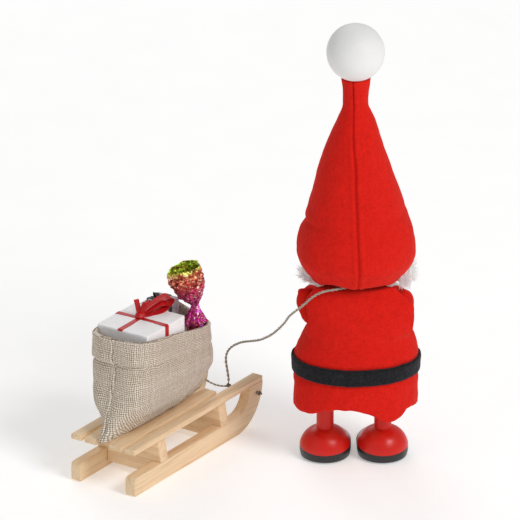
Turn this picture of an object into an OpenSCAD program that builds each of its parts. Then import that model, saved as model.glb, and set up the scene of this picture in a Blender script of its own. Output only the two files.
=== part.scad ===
/* [Figure] */
// Height from the floor to the top of the hat's ball
height = 160; // [158:1:163]
// Diameter of the wooden ball on the hat
ball_d = 20; // [18:0.5:21]
// Diameter of the wooden head
head_d = 29; // [28:0.5:29]
// Diameter of the leg dowels
leg_d = 6; // [5:0.5:6.5]
// Distance between the centres of the two legs
leg_gap = 20; // [19.5:0.5:21]
// Thickness of the felt of the coat and the hat
felt = 1.2; // [0.8:0.1:1.2]
// Width of the felt belt
belt_w = 6.5; // [5:0.5:7]

/* [Sled] */
// Length of the sled over its runners
sled_length = 78.6; // [77:0.2:80]
// Width over the outsides of the two runners
sled_width = 26.7; // [26:0.1:28]
// Height of the sled's deck above the floor
sled_height = 17.3; // [16.5:0.1:18]
// Thickness of the runner board
runner_t = 3.9; // [3.5:0.1:4.2]
// Height of the runner's straight stretch
runner_h = 6.8; // [6:0.1:7]
// Thickness of the deck's bars and slats
bar_t = 2; // [1.6:0.1:2.4]
// Width of the two outer deck bars
bar_w = 4.3; // [4:0.1:4.8]
// Width of the two inner deck slats
slat_w = 5.2; // [4.6:0.1:5.6]
// Thickness of the two cross boards under the deck
bearer_t = 4.5; // [3.5:0.5:5]

/* [Load] */
// Height of the sack's rim above the deck, at its rear end
sack_h = 36; // [34:1:38]
// Width of the sack at its mouth
sack_w = 23.8; // [23.6:0.1:25]
// Width of the white parcel
gift_w = 20; // [18:0.5:20]
// Length of the white parcel
gift_l = 22; // [20:0.5:22]
// Height of the white parcel
gift_h = 17; // [14:0.5:18]
// Diameter of the twisted foil wrapper at its widest
sweet_d = 13.6; // [12:0.2:13.6]

/* [Twine] */
// Diameter of the two-strand tow twine
twine_d = 1.2; // [1:0.1:1.3]
// Diameter of the single strand between the runners
strand_d = 0.9; // [0.7:0.1:1]

/* [Hidden] */

// Where the two halves of the group stand: the figure faces -Y, the sled stands at its left
figure_at = [-38, 4, 0];
sled_at = [48.6, 32.4, 0];
sled_turn = -124;

// Fits: a glued dowel fills its hole, a turning one has a little room
run_gap = 0.05;
part_gap = 0.3;

// Head, neck and hat
head_r = head_d / 2;
head_z = 80;
head_flat_z = 66.2;
neck_r = 3;
neck_bottom_z = 60.3;
neck_top_z = 73;
core_top_z = 65;
ball_r = ball_d / 2;
ball_z = height - ball_r;
hat_dowel_r = 1.5;
hat_top_z = ball_z - 9.6;
hat_dowel_bottom_z = 86;
hat_dowel_top_z = ball_z - 2;
nose_r = 2.7;
nose_z = 81.2;
eye_r = 1;
eye_x = 4.7;
eye_z = 85;

// Hat: half width at each height, and depth over width
hat_side = [
    [66, 15], [68.6, 15.4], [70, 17.4], [72, 19], [75.5, 20.1], [78, 20.1], [83.4, 19.3],
    [91, 16.9], [98.7, 15], [106, 12.9], [112.5, 10.9], [120, 8.3], [124, 6.8],
    [127.7, 5.2], [130, 4.6], [hat_top_z, 4.7]
];
hat_round = [[66, 0.87], [90, 0.88], [118, 1], [hat_top_z, 1]];
hat_rim = [
    [0, 88], [22, 87], [38, 80], [50, 70], [60, 67.4], [75, 67], [105, 67], [122, 68.7], [180, 68.7]
];
hat_steps = [0, 0.025, 0.06, 0.1, 0.16, 0.24, 0.34, 0.46, 0.6, 0.72, 0.8, 0.87, 1];

// Coat: half width and half depth at each height
coat_top_z = 66;
coat_side = [
    [17, 20.8], [21, 21.3], [26, 21.3], [35, 20.7], [42.5, 19.6], [47, 17.8], [50, 16],
    [51, 14.8], [52, 13.8], [53, 13.1], [55, 12.3], [58, 11.3], [62, 10.9], [66, 10]
];
coat_front = [
    [17, 16], [26, 16.3], [35, 16], [42.5, 15.3], [50, 14], [54, 13.5], [58, 12.9],
    [62, 12.2], [64.5, 11], [66, 10]
];
// The back panel stands wide behind the sleeves: how much at each height and angle from the back
coat_wide = [[48, 0], [52, 0.35], [56, 0.5], [61, 0.42], [64, 0.14], [66, 0]];
coat_wide_at = [[0, 0], [20, 0.25], [40, 0.85], [53, 1], [59, 0.1], [64, 0], [180, 0]];
coat_hem = [
    [0, 19.4], [25, 20], [48, 20.4], [62, 22.6], [85, 23.2], [105, 21.4], [122, 18.4], [138, 18.6],
    [150, 22], [180, 20], [230, 20.5], [270, 21.5], [310, 20.5], [360, 19.4]
];
coat_steps = [0, 0.12, 0.3, 0.42, 0.54, 0.62, 0.68, 0.71, 0.74, 0.78, 0.85, 0.93, 1];
belt_z = 35.6;
belt_t = 1.2;

// Arms, as seen on the figure's left: shoulder, elbow, wrist and hand
axle_r = 1.2;
shoulder = [16.4, 1.5, 58.3];
elbow = [16.9, 3, 54.4];
wrist = [14.6, -14.5, 54.4];
hand = [13.4, -18.6, 54.6];
finger = [13, -21, 53.8];
thumb = [10.6, -17.4, 56.8];
shoulder_r = 4.6;
elbow_r = 3.6;
wrist_r = 3.2;

// Feet
leg_x = leg_gap / 2;
leg_bottom_z = 4.5;
leg_top_z = 34;
sole_z = 3.2;
toe_in = 6;
foot_back = -0.4;
foot_front = -9;
toe_edge_y = -4.6;
toe_lean = 22;
heel_outline = [[0, 0], [7.6, 0], [8.7, 1.4], [8.9, 3.2], [8.3, 6], [6.6, 8.6], [3.8, 10.3], [0, 10.8]];
toe_outline = [[0, 0], [7.3, 0], [8.1, 1.2], [8.2, 2.3], [7.4, 3.8], [5.8, 5], [3.2, 6], [0, 6.4]];

// Sled, in its own directions: X runs forward, Y to its left
half_w = sled_width / 2;
nose_curve_r = 16.2;
nose_inner_r = 8.3;
runner_tail_r = 1.6;
deck_z = sled_height - bar_t;
bearer_low_z = 2;
bearer_inset = 1.6;
rear_bearer_x = 16;
front_bearer_x = 53;
slat_inner_y = 2.6;
slat_end_x = 58.2;
tow_hole_x = sled_length - 3.6;
tow_hole_z = 12;
tow_hole_r = 0.7;

// Sack: half width, rear end and front end at each height above the deck
sack_floor_z = sled_height + 0.05;
sack_levels = [0, 1.2, 3.5, 7.5, 12.5, 18.5, 25, 31, sack_h];
sack_half = [[0, 3.1], [1.2, 4.4], [3.5, 6.3], [7.5, 8.8], [12.5, 10.9], [18.5, sack_w / 2],
    [31, sack_w / 2 + 0.1], [38, sack_w / 2 - 0.1]];
sack_rear = [[0, -1.4], [4, 1.6], [10, 3.6], [18.5, 6.4], [31, 6.8], [38, 7]];
sack_front = [[0, 60], [4, 59.6], [10, 57.4], [18.5, 54.8], [31, 53], [38, 52.6]];
sack_power = [[0, 2], [7, 2.6], [18.5, 5], [38, 5]];
sack_skin = 0.8;
sack_inside_z = 6;
rim_drop = 8;
filling_gap = 0.3;
filling_rear_z = 20.2;
filling_front_z = 26.4;
filling_step_x = 35.8;

// Parcels and the sweet
gift_x = 13.2;
gift_z = sack_floor_z + filling_rear_z + 0.1;
ribbon_w = 1.6;
ribbon_t = 0.35;
bow_r = 3.4;
small_gift = [12, 7.4, 9.4];
small_gift_at = [37.2, 1.8];
small_gift_z = sack_floor_z + filling_front_z + 0.1;
sweet_at = [47.4, -6.2];
sweet_lean = [-15, -8, 0];
sweet_r = sweet_d / 2;
sweet_foot_z = small_gift_z;
sweet_core_r = 3.6;
sweet_core_z = 7.6;
sweet_neck_z = 53.4;
sweet_h = 14.6;

// Tow twine, from the nape under the hat's edge down to the knot between the runners
twine_route = [
    [-35, 13.2, 66.7], [-33, 15, 67.2], [-30.8, 16.2, 67.3], [-28.6, 15.8, 66.8], [-26.4, 15.2, 65.9],
    [-24.5, 14.5, 64.6],
    [-23, 13.8, 63.2], [-21.4, 13.2, 61.4], [-19.2, 12.3, 59], [-17.2, 10.3, 56.5], [-15.4, 7.1, 53.5],
    [-14.2, 4.4, 50.4], [-12.7, 1.6, 47.4], [-11.2, -1.4, 44.6], [-9.6, -4.6, 41.8], [-7.6, -8.4, 39],
    [-5.6, -12.4, 36.4], [-3.2, -16, 34.4], [-0.8, -19.6, 32.6], [1.4, -22.8, 30.8], [3.4, -25.8, 28.6],
    [5.2, -28, 26.2], [6.2, -29.4, 23.8], [6.5, -30, 21.2], [6.2, -30.1, 18.4], [5.8, -30.2, 15.6],
    [5.5, -30.2, 13.1]
];
twine_side = [0.78, 0.62, 0];
// Bridle, in the sled's own directions, from the right runner to the left one
bridle_route = [
    [75, -15, 12], [75, -13.4, 12], [75, -11.4, 12], [75, -9.4, 12], [75.2, -6.8, 11.2], [75.6, -4, 10.9],
    [75.9, -1, 11.1], [75.8, 1.6, 10.5], [75.5, 4.4, 10.4], [75.2, 7, 11], [75, 9.4, 12],
    [75, 11.4, 12], [75, 13.4, 12], [75, 15, 12]
];
tow_knot_at = [75.9, -0.6, 11.2];
knot_r = 1.2;

module on_sled() translate(sled_at) rotate([0, 0, sled_turn]) children();
module on_figure() translate(figure_at) children();
// side is 1 for the left and -1 for the right
module on_side(side) mirror([side > 0 ? 0 : 1, 0, 0]) children();

// Closed solid through a row of closed loops; a ring of loops needs no caps
module skin(loops, ring = false) {
    rows = len(loops);
    n = len(loops[0]);
    last = ring ? rows - 1 : rows - 2;
    points = [for (loop = loops) for (p = loop) p];
    sides = [
        for (i = [0:last]) for (j = [0:n - 1])
            let (a = i * n + j, b = i * n + (j + 1) % n, c = ((i + 1) % rows) * n)
            each [[a, c + j, b], [b, c + j, c + (j + 1) % n]]
    ];
    caps = ring ? [] : [[for (j = [0:n - 1]) j], [for (j = [n - 1:-1:0]) (rows - 1) * n + j]];
    polyhedron(points, concat(sides, caps));
}

// Angle away from the figure's front, which faces -Y
function from_front(a) = abs((a - 270 + 540) % 360 - 180);
function oval(half_x, half_y, a, z) = [half_x * cos(a), half_y * sin(a), z];
function unit(v) = v / norm(v);

function coat_point(a, z, inset) =
    let (wide = 1 + lookup(z, coat_wide) * lookup(abs(a - 90), coat_wide_at))
    oval((lookup(z, coat_side) - inset) * wide, lookup(z, coat_front) - inset, a, z);
function coat_loop(a) =
    let (low = lookup(a, coat_hem), high = coat_top_z, n = len(coat_steps) - 1)
    concat(
        [for (t = coat_steps) coat_point(a, low + (high - low) * t, 0)],
        [for (i = [n:-1:0]) coat_point(a, low + (high - low) * coat_steps[i], felt)]
    );

function hat_point(a, z, inset) =
    let (w = lookup(z, hat_side), d = w * lookup(z, hat_round)) oval(w - inset, d - inset, a, z);
function hat_loop(a) =
    let (low = lookup(from_front(a), hat_rim), n = len(hat_steps) - 1)
    concat(
        [for (t = hat_steps) hat_point(a, low + (hat_top_z - low) * t, 0)],
        [for (i = [n:-1:0]) hat_point(a, low + (hat_top_z - low) * hat_steps[i], felt)]
    );

module body_core() on_figure() color("burlywood") difference() {
    rotate_extrude($fn = 64)
        polygon([
            [0, 20.5], [13.8, 20.5], [14.3, 21.5], [14.3, 36], [12.6, 45], [10.3, 50],
            [8.2, 53.5], [8.2, 62.5], [6.4, core_top_z], [0, core_top_z]
        ]);
    translate([0, 0, neck_bottom_z]) cylinder(r = neck_r, h = 20, $fn = 48);
    translate([0, shoulder[1], shoulder[2]]) rotate([0, 90, 0])
        cylinder(r = axle_r, h = 40, center = true, $fn = 32);
    for (side = [1, -1]) translate([side * leg_x, 0, 0]) cylinder(d = leg_d, h = leg_top_z, $fn = 48);
}

module neck_dowel() on_figure() color("wheat")
    translate([0, 0, neck_bottom_z]) cylinder(r = neck_r, h = neck_top_z - neck_bottom_z, $fn = 48);

module neck_washer() on_figure() color("tan") translate([0, 0, core_top_z]) difference() {
    cylinder(r = 5.2, h = 1, $fn = 48);
    translate([0, 0, -1]) cylinder(r = neck_r + run_gap, h = 3, $fn = 48);
}

module arm_axle() on_figure() color("silver")
    translate([0, shoulder[1], shoulder[2]]) rotate([0, 90, 0])
        cylinder(r = axle_r, h = 2 * shoulder[0] + 2, center = true, $fn = 32);

module coat() on_figure() color("red") difference() {
    skin([for (a = [0:7.5:352.5]) coat_loop(a)], ring = true);
    translate([0, shoulder[1], shoulder[2]]) rotate([0, 90, 0])
        cylinder(r = axle_r + part_gap, h = 40, center = true, $fn = 32);
}

module belt() on_figure() color("black")
    skin([
        for (a = [0:7.5:352.5]) [
            coat_point(a, belt_z - belt_w / 2, -0.1), coat_point(a, belt_z - belt_w / 2, -belt_t),
            coat_point(a, belt_z + belt_w / 2, -belt_t), coat_point(a, belt_z + belt_w / 2, -0.1)
        ]
    ], ring = true);

module leg(side) on_figure() color("firebrick")
    translate([side * leg_x, 0, leg_bottom_z]) cylinder(d = leg_d, h = leg_top_z - leg_bottom_z, $fn = 48);

// The egg-shaped wooden foot, toe towards -Y
module foot_shape() hull() {
    translate([0, foot_back, 0]) rotate_extrude($fn = 32) polygon(heel_outline);
    translate([0, foot_front, 0]) rotate_extrude($fn = 32) polygon(toe_outline);
}

// The space of the red dome: above the sole and behind the black toe, whose edge leans forward
module heel_space() translate([0, toe_edge_y, sole_z]) rotate([toe_lean, 0, 0])
    translate([-15, 0, -30]) cube([30, 30, 60]);

module above_sole() translate([-15, -30, sole_z]) cube([30, 60, 30]);

module at_foot(side) on_figure() translate([side * leg_x, 0, 0]) rotate([0, 0, -side * toe_in]) children();

module stocking(side) color("red") at_foot(side) difference() {
    intersection() {
        foot_shape();
        heel_space();
        above_sole();
    }
    translate([0, 0, leg_bottom_z]) cylinder(d = leg_d, h = 20, $fn = 48);
}

module clog(side) color("black") at_foot(side) difference() {
    foot_shape();
    intersection() {
        heel_space();
        above_sole();
    }
}

module head() on_figure() color("peachpuff") difference() {
    translate([0, 0, head_z]) sphere(r = head_r, $fn = 64);
    translate([-20, -20, head_flat_z - 20]) cube([40, 40, 20]);
    translate([0, 0, head_flat_z - 1])
        cylinder(r = neck_r + run_gap, h = neck_top_z - head_flat_z + 1.5, $fn = 48);
    translate([0, 0, hat_dowel_bottom_z]) cylinder(r = hat_dowel_r, h = 20, $fn = 32);
    translate([0, -8, nose_z]) rotate([90, 0, 0]) cylinder(r = 1, h = 20, $fn = 24);
    for (side = [1, -1]) eye_ball(side);
}

module eye_ball(side)
    translate([side * eye_x, -sqrt(pow(head_r, 2) - pow(eye_x, 2) - pow(eye_z - head_z, 2)), eye_z])
        sphere(r = eye_r, $fn = 24);

module nose() on_figure() color("peachpuff") {
    translate([0, -head_r - nose_r, nose_z]) sphere(r = nose_r, $fn = 32);
    translate([0, -8.1, nose_z]) rotate([90, 0, 0]) cylinder(r = 1, h = head_r - 8, $fn = 24);
}

module eyes() on_figure() color("black") for (side = [1, -1]) eye_ball(side);

module moustache() on_figure() color("white") difference() {
    for (side = [1, -1]) hull() {
        translate([side * 0.6, -head_r - 0.6, 76.4]) sphere(r = 1.5, $fn = 16);
        translate([side * 6.4, -head_r + 1.2, 75.4]) sphere(r = 1, $fn = 16);
    }
    translate([0, 0, head_z]) sphere(r = head_r + 0.05, $fn = 32);
}

// Beard: a curved pad under the face, high at its middle and low at its ends
function beard_loop(f) =
    let (
        low = lookup(f, [[0, 57], [34, 58], [50, 62], [60, 64.4]]),
        high = lookup(f, [[0, 73.8], [36, 73], [48, 68.4], [60, 66.2]]),
        out = lookup(f, [[0, 18.6], [30, 17.4], [60, 15.6]])
    )
    [
        [13.8, low], [14.6, low - 0.2], [out - 0.6, low + (high - low) * 0.25],
        [out, low + (high - low) * 0.55], [out - 0.8, low + (high - low) * 0.85], [14.6, high], [13.8, high]
    ];

module beard() on_figure() color("white")
    skin([
        for (a = [-60:10:60]) [for (p = beard_loop(abs(a))) [p[0] * sin(a), -p[0] * cos(a), p[1]]]
    ]);

module hat() on_figure() color("red")
    skin([for (a = [0:7.5:352.5]) hat_loop(a)], ring = true);

module hat_dowel() on_figure() color("wheat")
    translate([0, 0, hat_dowel_bottom_z])
        cylinder(r = hat_dowel_r, h = hat_dowel_top_z - hat_dowel_bottom_z, $fn = 32);

module hat_ball() on_figure() color("white") difference() {
    translate([0, 0, ball_z]) sphere(r = ball_r, $fn = 96);
    translate([0, 0, ball_z - 2 * ball_r]) cylinder(r = hat_dowel_r, h = 2 * ball_r - 2, $fn = 32);
}

// A round-ended limb through two points
module limb(a, b, ra, rb) hull() {
    translate(a) sphere(r = ra, $fn = 16);
    translate(b) sphere(r = rb, $fn = 16);
}

module arm_core(extra) {
    limb(shoulder, elbow, 3 + extra, 2.3 + extra);
    limb(elbow, hand, 2.3 + extra, 1.6 + extra);
}

module arm(side) on_figure() color("burlywood") on_side(side) difference() {
    arm_core(0);
    translate([shoulder[0] - 5, shoulder[1], shoulder[2]]) rotate([0, 90, 0])
        cylinder(r = axle_r + run_gap, h = 6.2, $fn = 32);
}

module sleeve(side) on_figure() color("red") on_side(side) difference() {
    union() {
        limb(shoulder, elbow, shoulder_r, elbow_r);
        limb(elbow, wrist, elbow_r, wrist_r);
    }
    arm_core(0.1);
    translate([shoulder[0] - 8, shoulder[1], shoulder[2]]) rotate([0, 90, 0])
        cylinder(r = axle_r + part_gap, h = 8, $fn = 32);
}

module mitten(side) on_figure() color("white") on_side(side) difference() {
    union() {
        limb(hand, finger, 3.1, 2.4);
        limb(hand, thumb, 1.8, 1.2);
    }
    arm_core(0.1);
    translate(wrist) sphere(r = wrist_r + 0.1, $fn = 16);
}

function arc(c, r, from, to, n) = [
    for (i = [0:n]) let (a = from + (to - from) * i / n) c + r * [cos(a), sin(a)]
];

// Side view of a runner: X forward, Y up
module runner_outline() {
    low_c = [sled_length - nose_curve_r, nose_curve_r];
    high_c = [sled_length - nose_curve_r, runner_h + nose_inner_r];
    polygon(concat(
        [[0.4, 0]],
        arc(low_c, nose_curve_r, -90, asin((deck_z - nose_curve_r) / nose_curve_r), 28),
        [[high_c[0] + nose_inner_r, deck_z]],
        arc(high_c, nose_inner_r, 0, -90, 20),
        [[runner_tail_r + 0.6, runner_h]],
        arc([runner_tail_r, runner_h - runner_tail_r], runner_tail_r, 90, 180, 8),
        [[0, 0.4]]
    ));
}

module runner(side) on_sled() color("burlywood") difference() {
    translate([0, side * (half_w - runner_t / 2) + runner_t / 2, 0]) rotate([90, 0, 0])
        linear_extrude(runner_t) runner_outline();
    translate([tow_hole_x, side * half_w, tow_hole_z]) rotate([90, 0, 0])
        cylinder(r = tow_hole_r, h = 3 * runner_t, center = true, $fn = 24);
}

module bar(side) on_sled() color("burlywood")
    translate([0, side * (half_w - bar_w / 2) - bar_w / 2, deck_z]) cube([sled_length, bar_w, bar_t]);

module slat(side) on_sled() color("burlywood")
    translate([0, side * (slat_inner_y + slat_w / 2) - slat_w / 2, deck_z]) cube([slat_end_x, slat_w, bar_t]);

// Cross board: it stands on the runners and reaches down between them
module bearer(x) on_sled() color("burlywood") {
    tongue = half_w - runner_t - 0.1;
    translate([x, 0, 0]) rotate([90, 0, 90]) linear_extrude(bearer_t)
        polygon([
            [-tongue, bearer_low_z], [tongue, bearer_low_z], [tongue, runner_h], [half_w, runner_h],
            [half_w - bearer_inset, deck_z], [bearer_inset - half_w, deck_z], [-half_w, runner_h],
            [-tongue, runner_h]
        ]);
}

// Outline of the sack at a height above its floor; the rim falls towards the front right corner
function sack_ring(h, inset, n = 40) =
    let (
        half = lookup(h, sack_half) - inset,
        rear = lookup(h, sack_rear) + inset,
        front = lookup(h, sack_front) - inset,
        power = lookup(h, sack_power),
        low = rim_drop * max(0, h - 12) / (sack_h - 12)
    )
    [
        for (i = [0:n - 1])
            let (
                a = 360 * i / n,
                x = sign(cos(a)) * pow(abs(cos(a)), 2 / power),
                y = sign(sin(a)) * pow(abs(sin(a)), 2 / power)
            )
            [
                (rear + front) / 2 + x * (front - rear) / 2, y * half,
                sack_floor_z + h - low * pow((1 + x) / 2, 1.3) * (1 - y) / 2
            ]
    ];

module sack() on_sled() color("tan") {
    n = len(sack_levels) - 1;
    inside = [for (i = [n:-1:0]) if (sack_levels[i] > sack_inside_z) sack_levels[i]];
    skin(concat(
        [for (h = sack_levels) sack_ring(h, 0)],
        [for (h = inside) sack_ring(h, sack_skin)],
        [sack_ring(sack_inside_z, sack_skin)]
    ));
}

// Stuffing under the parcels, higher at the sack's front end
module sack_filling() on_sled() color("ivory") difference() {
    skin([for (h = [6.2, 7.5, 12.5, 18.5, 29]) sack_ring(h, sack_skin + filling_gap)]);
    translate([-5, -20, sack_floor_z + filling_rear_z]) cube([filling_step_x + 5, 40, 40]);
    translate([filling_step_x - 1, -20, sack_floor_z + filling_front_z]) cube([40, 40, 40]);
}

module white_gift() on_sled() color("white")
    translate([gift_x, -gift_w / 2, gift_z]) cube([gift_l, gift_w, gift_h]);

// Ribbon round a box at its middle, open below: across 0 runs it over the box's width, 1 over its length
module band(at, size, across) {
    grown = size + ribbon_t * [2, 2, 1];
    span = across == 0 ? [ribbon_w, grown[1], grown[2]] : [grown[0], ribbon_w, grown[2]];
    start = across == 0 ? [(size[0] - ribbon_w) / 2, -ribbon_t, 0] : [-ribbon_t, (size[1] - ribbon_w) / 2, 0];
    difference() {
        translate(at + start) cube(span);
        translate(at - [0, 0, 1]) cube(size + [0, 0, 1]);
    }
}

module gift_ribbon() on_sled() color("crimson") {
    at = [gift_x, -gift_w / 2, gift_z];
    size = [gift_l, gift_w, gift_h];
    band(at, size, 0);
    band(at, size, 1);
}

module gift_bow() on_sled() color("crimson")
    translate([gift_x + gift_l / 2, 0, gift_z + gift_h + ribbon_t + 0.05]) {
        cylinder(r = 1.3, h = 2, $fn = 24);
        for (turn = [20, 160, 265]) rotate([0, 0, turn]) translate([bow_r, 0, bow_r]) rotate([90, 0, 0])
            difference() {
                cylinder(r = bow_r, h = ribbon_w, center = true, $fn = 32);
                cylinder(r = bow_r - 0.5, h = 2 * ribbon_w, center = true, $fn = 32);
            }
    }

module dark_gift() on_sled() color("darkslategray")
    translate([small_gift_at[0], small_gift_at[1], small_gift_z]) cube(small_gift);

module dark_gift_band() on_sled() color("silver")
    band([small_gift_at[0], small_gift_at[1], small_gift_z], small_gift, 1);

// Everything above the wrapper's neck leans
module at_sweet_neck() on_sled()
    translate([sweet_at[0], sweet_at[1], sweet_neck_z]) rotate(sweet_lean) children();

module sweet_core() color("gold") at_sweet_neck()
    translate([0, 0, sweet_core_z]) sphere(r = sweet_core_r, $fn = 32);

module sweet_wrapper() color("mediumvioletred") {
    at_sweet_neck() difference() {
        rotate_extrude($fn = 48)
            polygon([
                [0, -0.4], [1.3, -0.4], [1.5, 0.6], [3.4, 3], [5.6, 6], [sweet_r - 0.2, 9.4],
                [sweet_r, 12], [sweet_r - 0.5, sweet_h], [0, sweet_h]
            ]);
        translate([0, 0, sweet_core_z]) sphere(r = sweet_core_r, $fn = 32);
        translate([0, 0, sweet_h - 2.2]) cylinder(r = sweet_r - 1.4, h = 5, $fn = 48);
    }
    tail_h = sweet_neck_z - sweet_foot_z;
    on_sled() translate([sweet_at[0], sweet_at[1], sweet_foot_z]) rotate_extrude($fn = 48)
        polygon([
            [0, 0], [3.5, 0], [3.7, 0.6], [3, tail_h * 0.5], [1.5, tail_h - 1], [1.3, tail_h], [0, tail_h]
        ]);
}

// Round tube along a route; side is a direction that the route never follows
module tube(route, d, side) {
    n = len(route);
    skin([
        for (i = [0:n - 1])
            let (
                along = unit(route[min(i + 1, n - 1)] - route[max(i - 1, 0)]),
                u = unit(cross(along, side)),
                v = cross(along, u)
            )
            [for (a = [0:45:315]) route[i] + d / 2 * (cos(a) * u - sin(a) * v)]
    ]);
}

module tow_twine() color("tan") tube(twine_route, twine_d, twine_side);

module bridle() on_sled() color("tan") tube(bridle_route, strand_d, [0, 0, 1]);

module knot(at, r) on_sled() color("dimgray") translate(at) sphere(r = r, $fn = 24);

module tow_knot() knot(tow_knot_at, knot_r);

module side_knot(side) on_sled() color("dimgray") difference() {
    translate([tow_hole_x, side * (half_w + knot_r), tow_hole_z]) sphere(r = knot_r, $fn = 24);
    translate([tow_hole_x, side * half_w, tow_hole_z]) rotate([90, 0, 0])
        cylinder(d = strand_d + 0.2, h = 8, center = true, $fn = 24);
}

body_core();
neck_dowel();
neck_washer();
arm_axle();
coat();
belt();
leg(1);  // left_leg
leg(-1);  // right_leg
stocking(1);  // left_stocking
stocking(-1);  // right_stocking
clog(1);  // left_clog
clog(-1);  // right_clog
head();
nose();
eyes();
moustache();
beard();
hat();
hat_dowel();
hat_ball();
arm(1);  // left_arm
arm(-1);  // right_arm
sleeve(1);  // left_sleeve
sleeve(-1);  // right_sleeve
mitten(1);  // left_mitten
mitten(-1);  // right_mitten
runner(1);  // left_runner
runner(-1);  // right_runner
bar(1);  // left_bar
bar(-1);  // right_bar
slat(1);  // left_slat
slat(-1);  // right_slat
bearer(front_bearer_x);  // front_bearer
bearer(rear_bearer_x);  // rear_bearer
sack();
sack_filling();
white_gift();
gift_ribbon();
gift_bow();
dark_gift();
dark_gift_band();
sweet_core();
sweet_wrapper();
tow_twine();
tow_knot();
bridle();
side_knot(1);  // left_knot
side_knot(-1);  // right_knot
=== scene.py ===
"""Looks of the tomte gnome figurine: felt, wool, linen, foil, painted and plain wood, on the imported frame."""

import random
from math import acos, atan2, copysign, cos, degrees, exp, hypot, pi, radians, sin, sqrt, tau

import bmesh
import bpy
from mathutils import Matrix, Vector, noise


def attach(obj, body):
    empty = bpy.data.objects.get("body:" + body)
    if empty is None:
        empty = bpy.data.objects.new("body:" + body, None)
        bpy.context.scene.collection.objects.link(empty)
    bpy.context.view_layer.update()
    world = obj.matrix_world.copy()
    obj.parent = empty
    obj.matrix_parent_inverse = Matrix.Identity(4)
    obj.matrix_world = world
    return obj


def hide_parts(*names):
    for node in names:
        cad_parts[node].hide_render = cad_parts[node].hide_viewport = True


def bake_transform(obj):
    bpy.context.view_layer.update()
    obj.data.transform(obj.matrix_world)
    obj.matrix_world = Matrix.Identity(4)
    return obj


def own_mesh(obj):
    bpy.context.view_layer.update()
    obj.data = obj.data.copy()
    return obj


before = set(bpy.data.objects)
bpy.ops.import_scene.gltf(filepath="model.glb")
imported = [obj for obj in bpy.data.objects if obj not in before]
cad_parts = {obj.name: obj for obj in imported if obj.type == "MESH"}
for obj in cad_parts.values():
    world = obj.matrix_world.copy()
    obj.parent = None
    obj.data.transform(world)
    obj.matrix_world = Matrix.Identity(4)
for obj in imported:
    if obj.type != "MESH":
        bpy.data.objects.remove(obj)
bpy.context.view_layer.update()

# Shapes are worked out in millimetres and scaled once, when a mesh is made
MM = 0.001

# Where the figure and the sled stand, as in the CAD model
FIGURE = Vector((-38, 4, 0))
SLED_TURN = 124
SLED = Matrix.Translation((48.6, 32.4, 0)) @ Matrix.Rotation(radians(-SLED_TURN), 4, "Z")
DEGREE_R = 57.3  # radius of a circle whose degrees are one unit long
BACK = 90.0  # the angle of the figure's back, counted from its left side
SIDES = ((1, "left"), (-1, "right"))


def on_figure(p):
    return FIGURE + Vector(p)


def on_sled(p):
    return SLED @ Vector(p)


# ---------------------------------------------------------------- camera and light


def placed(name, data):
    """A new object in the scene that holds data."""
    obj = bpy.data.objects.new(name, data)
    bpy.context.scene.collection.objects.link(obj)
    return obj


CAMERA_TARGET = Vector((-0.00544, -0.02218, 0.06225))
CAMERA_ELEVATION = radians(22.81)
CAMERA_DISTANCE = 3.0
CAMERA_LENS = 598.4
ROOM_LIGHT = 0.41
# Name, place, size, power and tint of each lamp, and the spot they all aim at
LAMPS = [
    ("key", (-0.75, 0.75, 0.95), 0.55, 8.2, (1, 0.99, 0.975)),
    ("fill", (0.9, 0.8, 0.55), 0.9, 0.5, (1, 1, 1)),
    ("front", (0.25, -0.95, 0.8), 0.8, 2.6, (1, 1, 1)),
]
LAMP_AIM = Vector((0, 0, 0.06))


def camera():
    """Looks at the gnome's back from a little above, from far away with a long lens."""
    data = bpy.data.cameras.new("camera")
    data.sensor_width = 36
    data.lens = CAMERA_LENS
    data.clip_start = 0.05
    data.clip_end = 30
    cam = placed("camera", data)
    back = Vector((0, cos(CAMERA_ELEVATION), sin(CAMERA_ELEVATION)))
    cam.location = CAMERA_TARGET + back * CAMERA_DISTANCE
    cam.rotation_euler = (-back).to_track_quat("-Z", "Y").to_euler()
    bpy.context.scene.camera = cam


def studio():
    scene = bpy.context.scene
    scene.view_settings.view_transform = "Standard"
    scene.world = bpy.data.worlds.new("studio")
    scene.world.use_nodes = True
    air = scene.world.node_tree.nodes["Background"].inputs
    air["Color"].default_value = (1, 1, 1, 1)
    air["Strength"].default_value = ROOM_LIGHT
    for name, place, size, power, tint in LAMPS:
        data = bpy.data.lights.new(name, "AREA")
        data.shape = "DISK"
        data.size = size
        data.energy = power
        data.color = tint
        lamp = placed(name, data)
        lamp.location = place
        lamp.rotation_euler = (Vector(place) - LAMP_AIM).to_track_quat("Z", "Y").to_euler()


camera()
studio()

# ---------------------------------------------------------------- small tools


def curve_at(x, table):
    """Value at x on a smooth curve through a table's points."""
    if x <= table[0][0]:
        return table[0][1]
    if x >= table[-1][0]:
        return table[-1][1]
    i = next(k for k in range(len(table) - 1) if table[k][0] <= x <= table[k + 1][0])
    (x0, y0), (x1, y1) = table[i], table[i + 1]
    span = x1 - x0
    rise = (y1 - y0) / span
    before = (y0 - table[i - 1][1]) / (x0 - table[i - 1][0]) if i else rise
    after = (table[i + 2][1] - y1) / (table[i + 2][0] - x1) if i + 2 < len(table) else rise
    slope0 = 0 if before * rise <= 0 else (before + rise) / 2
    slope1 = 0 if rise * after <= 0 else (rise + after) / 2
    t = (x - x0) / span
    return (
        (2 * t**3 - 3 * t**2 + 1) * y0
        + (t**3 - 2 * t**2 + t) * span * slope0
        + (3 * t**2 - 2 * t**3) * y1
        + (t**3 - t**2) * span * slope1
    )


def bell(x, width):
    """1 at x = 0, falling to 0 a few widths away."""
    return exp(-((x / width) ** 2))


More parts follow.
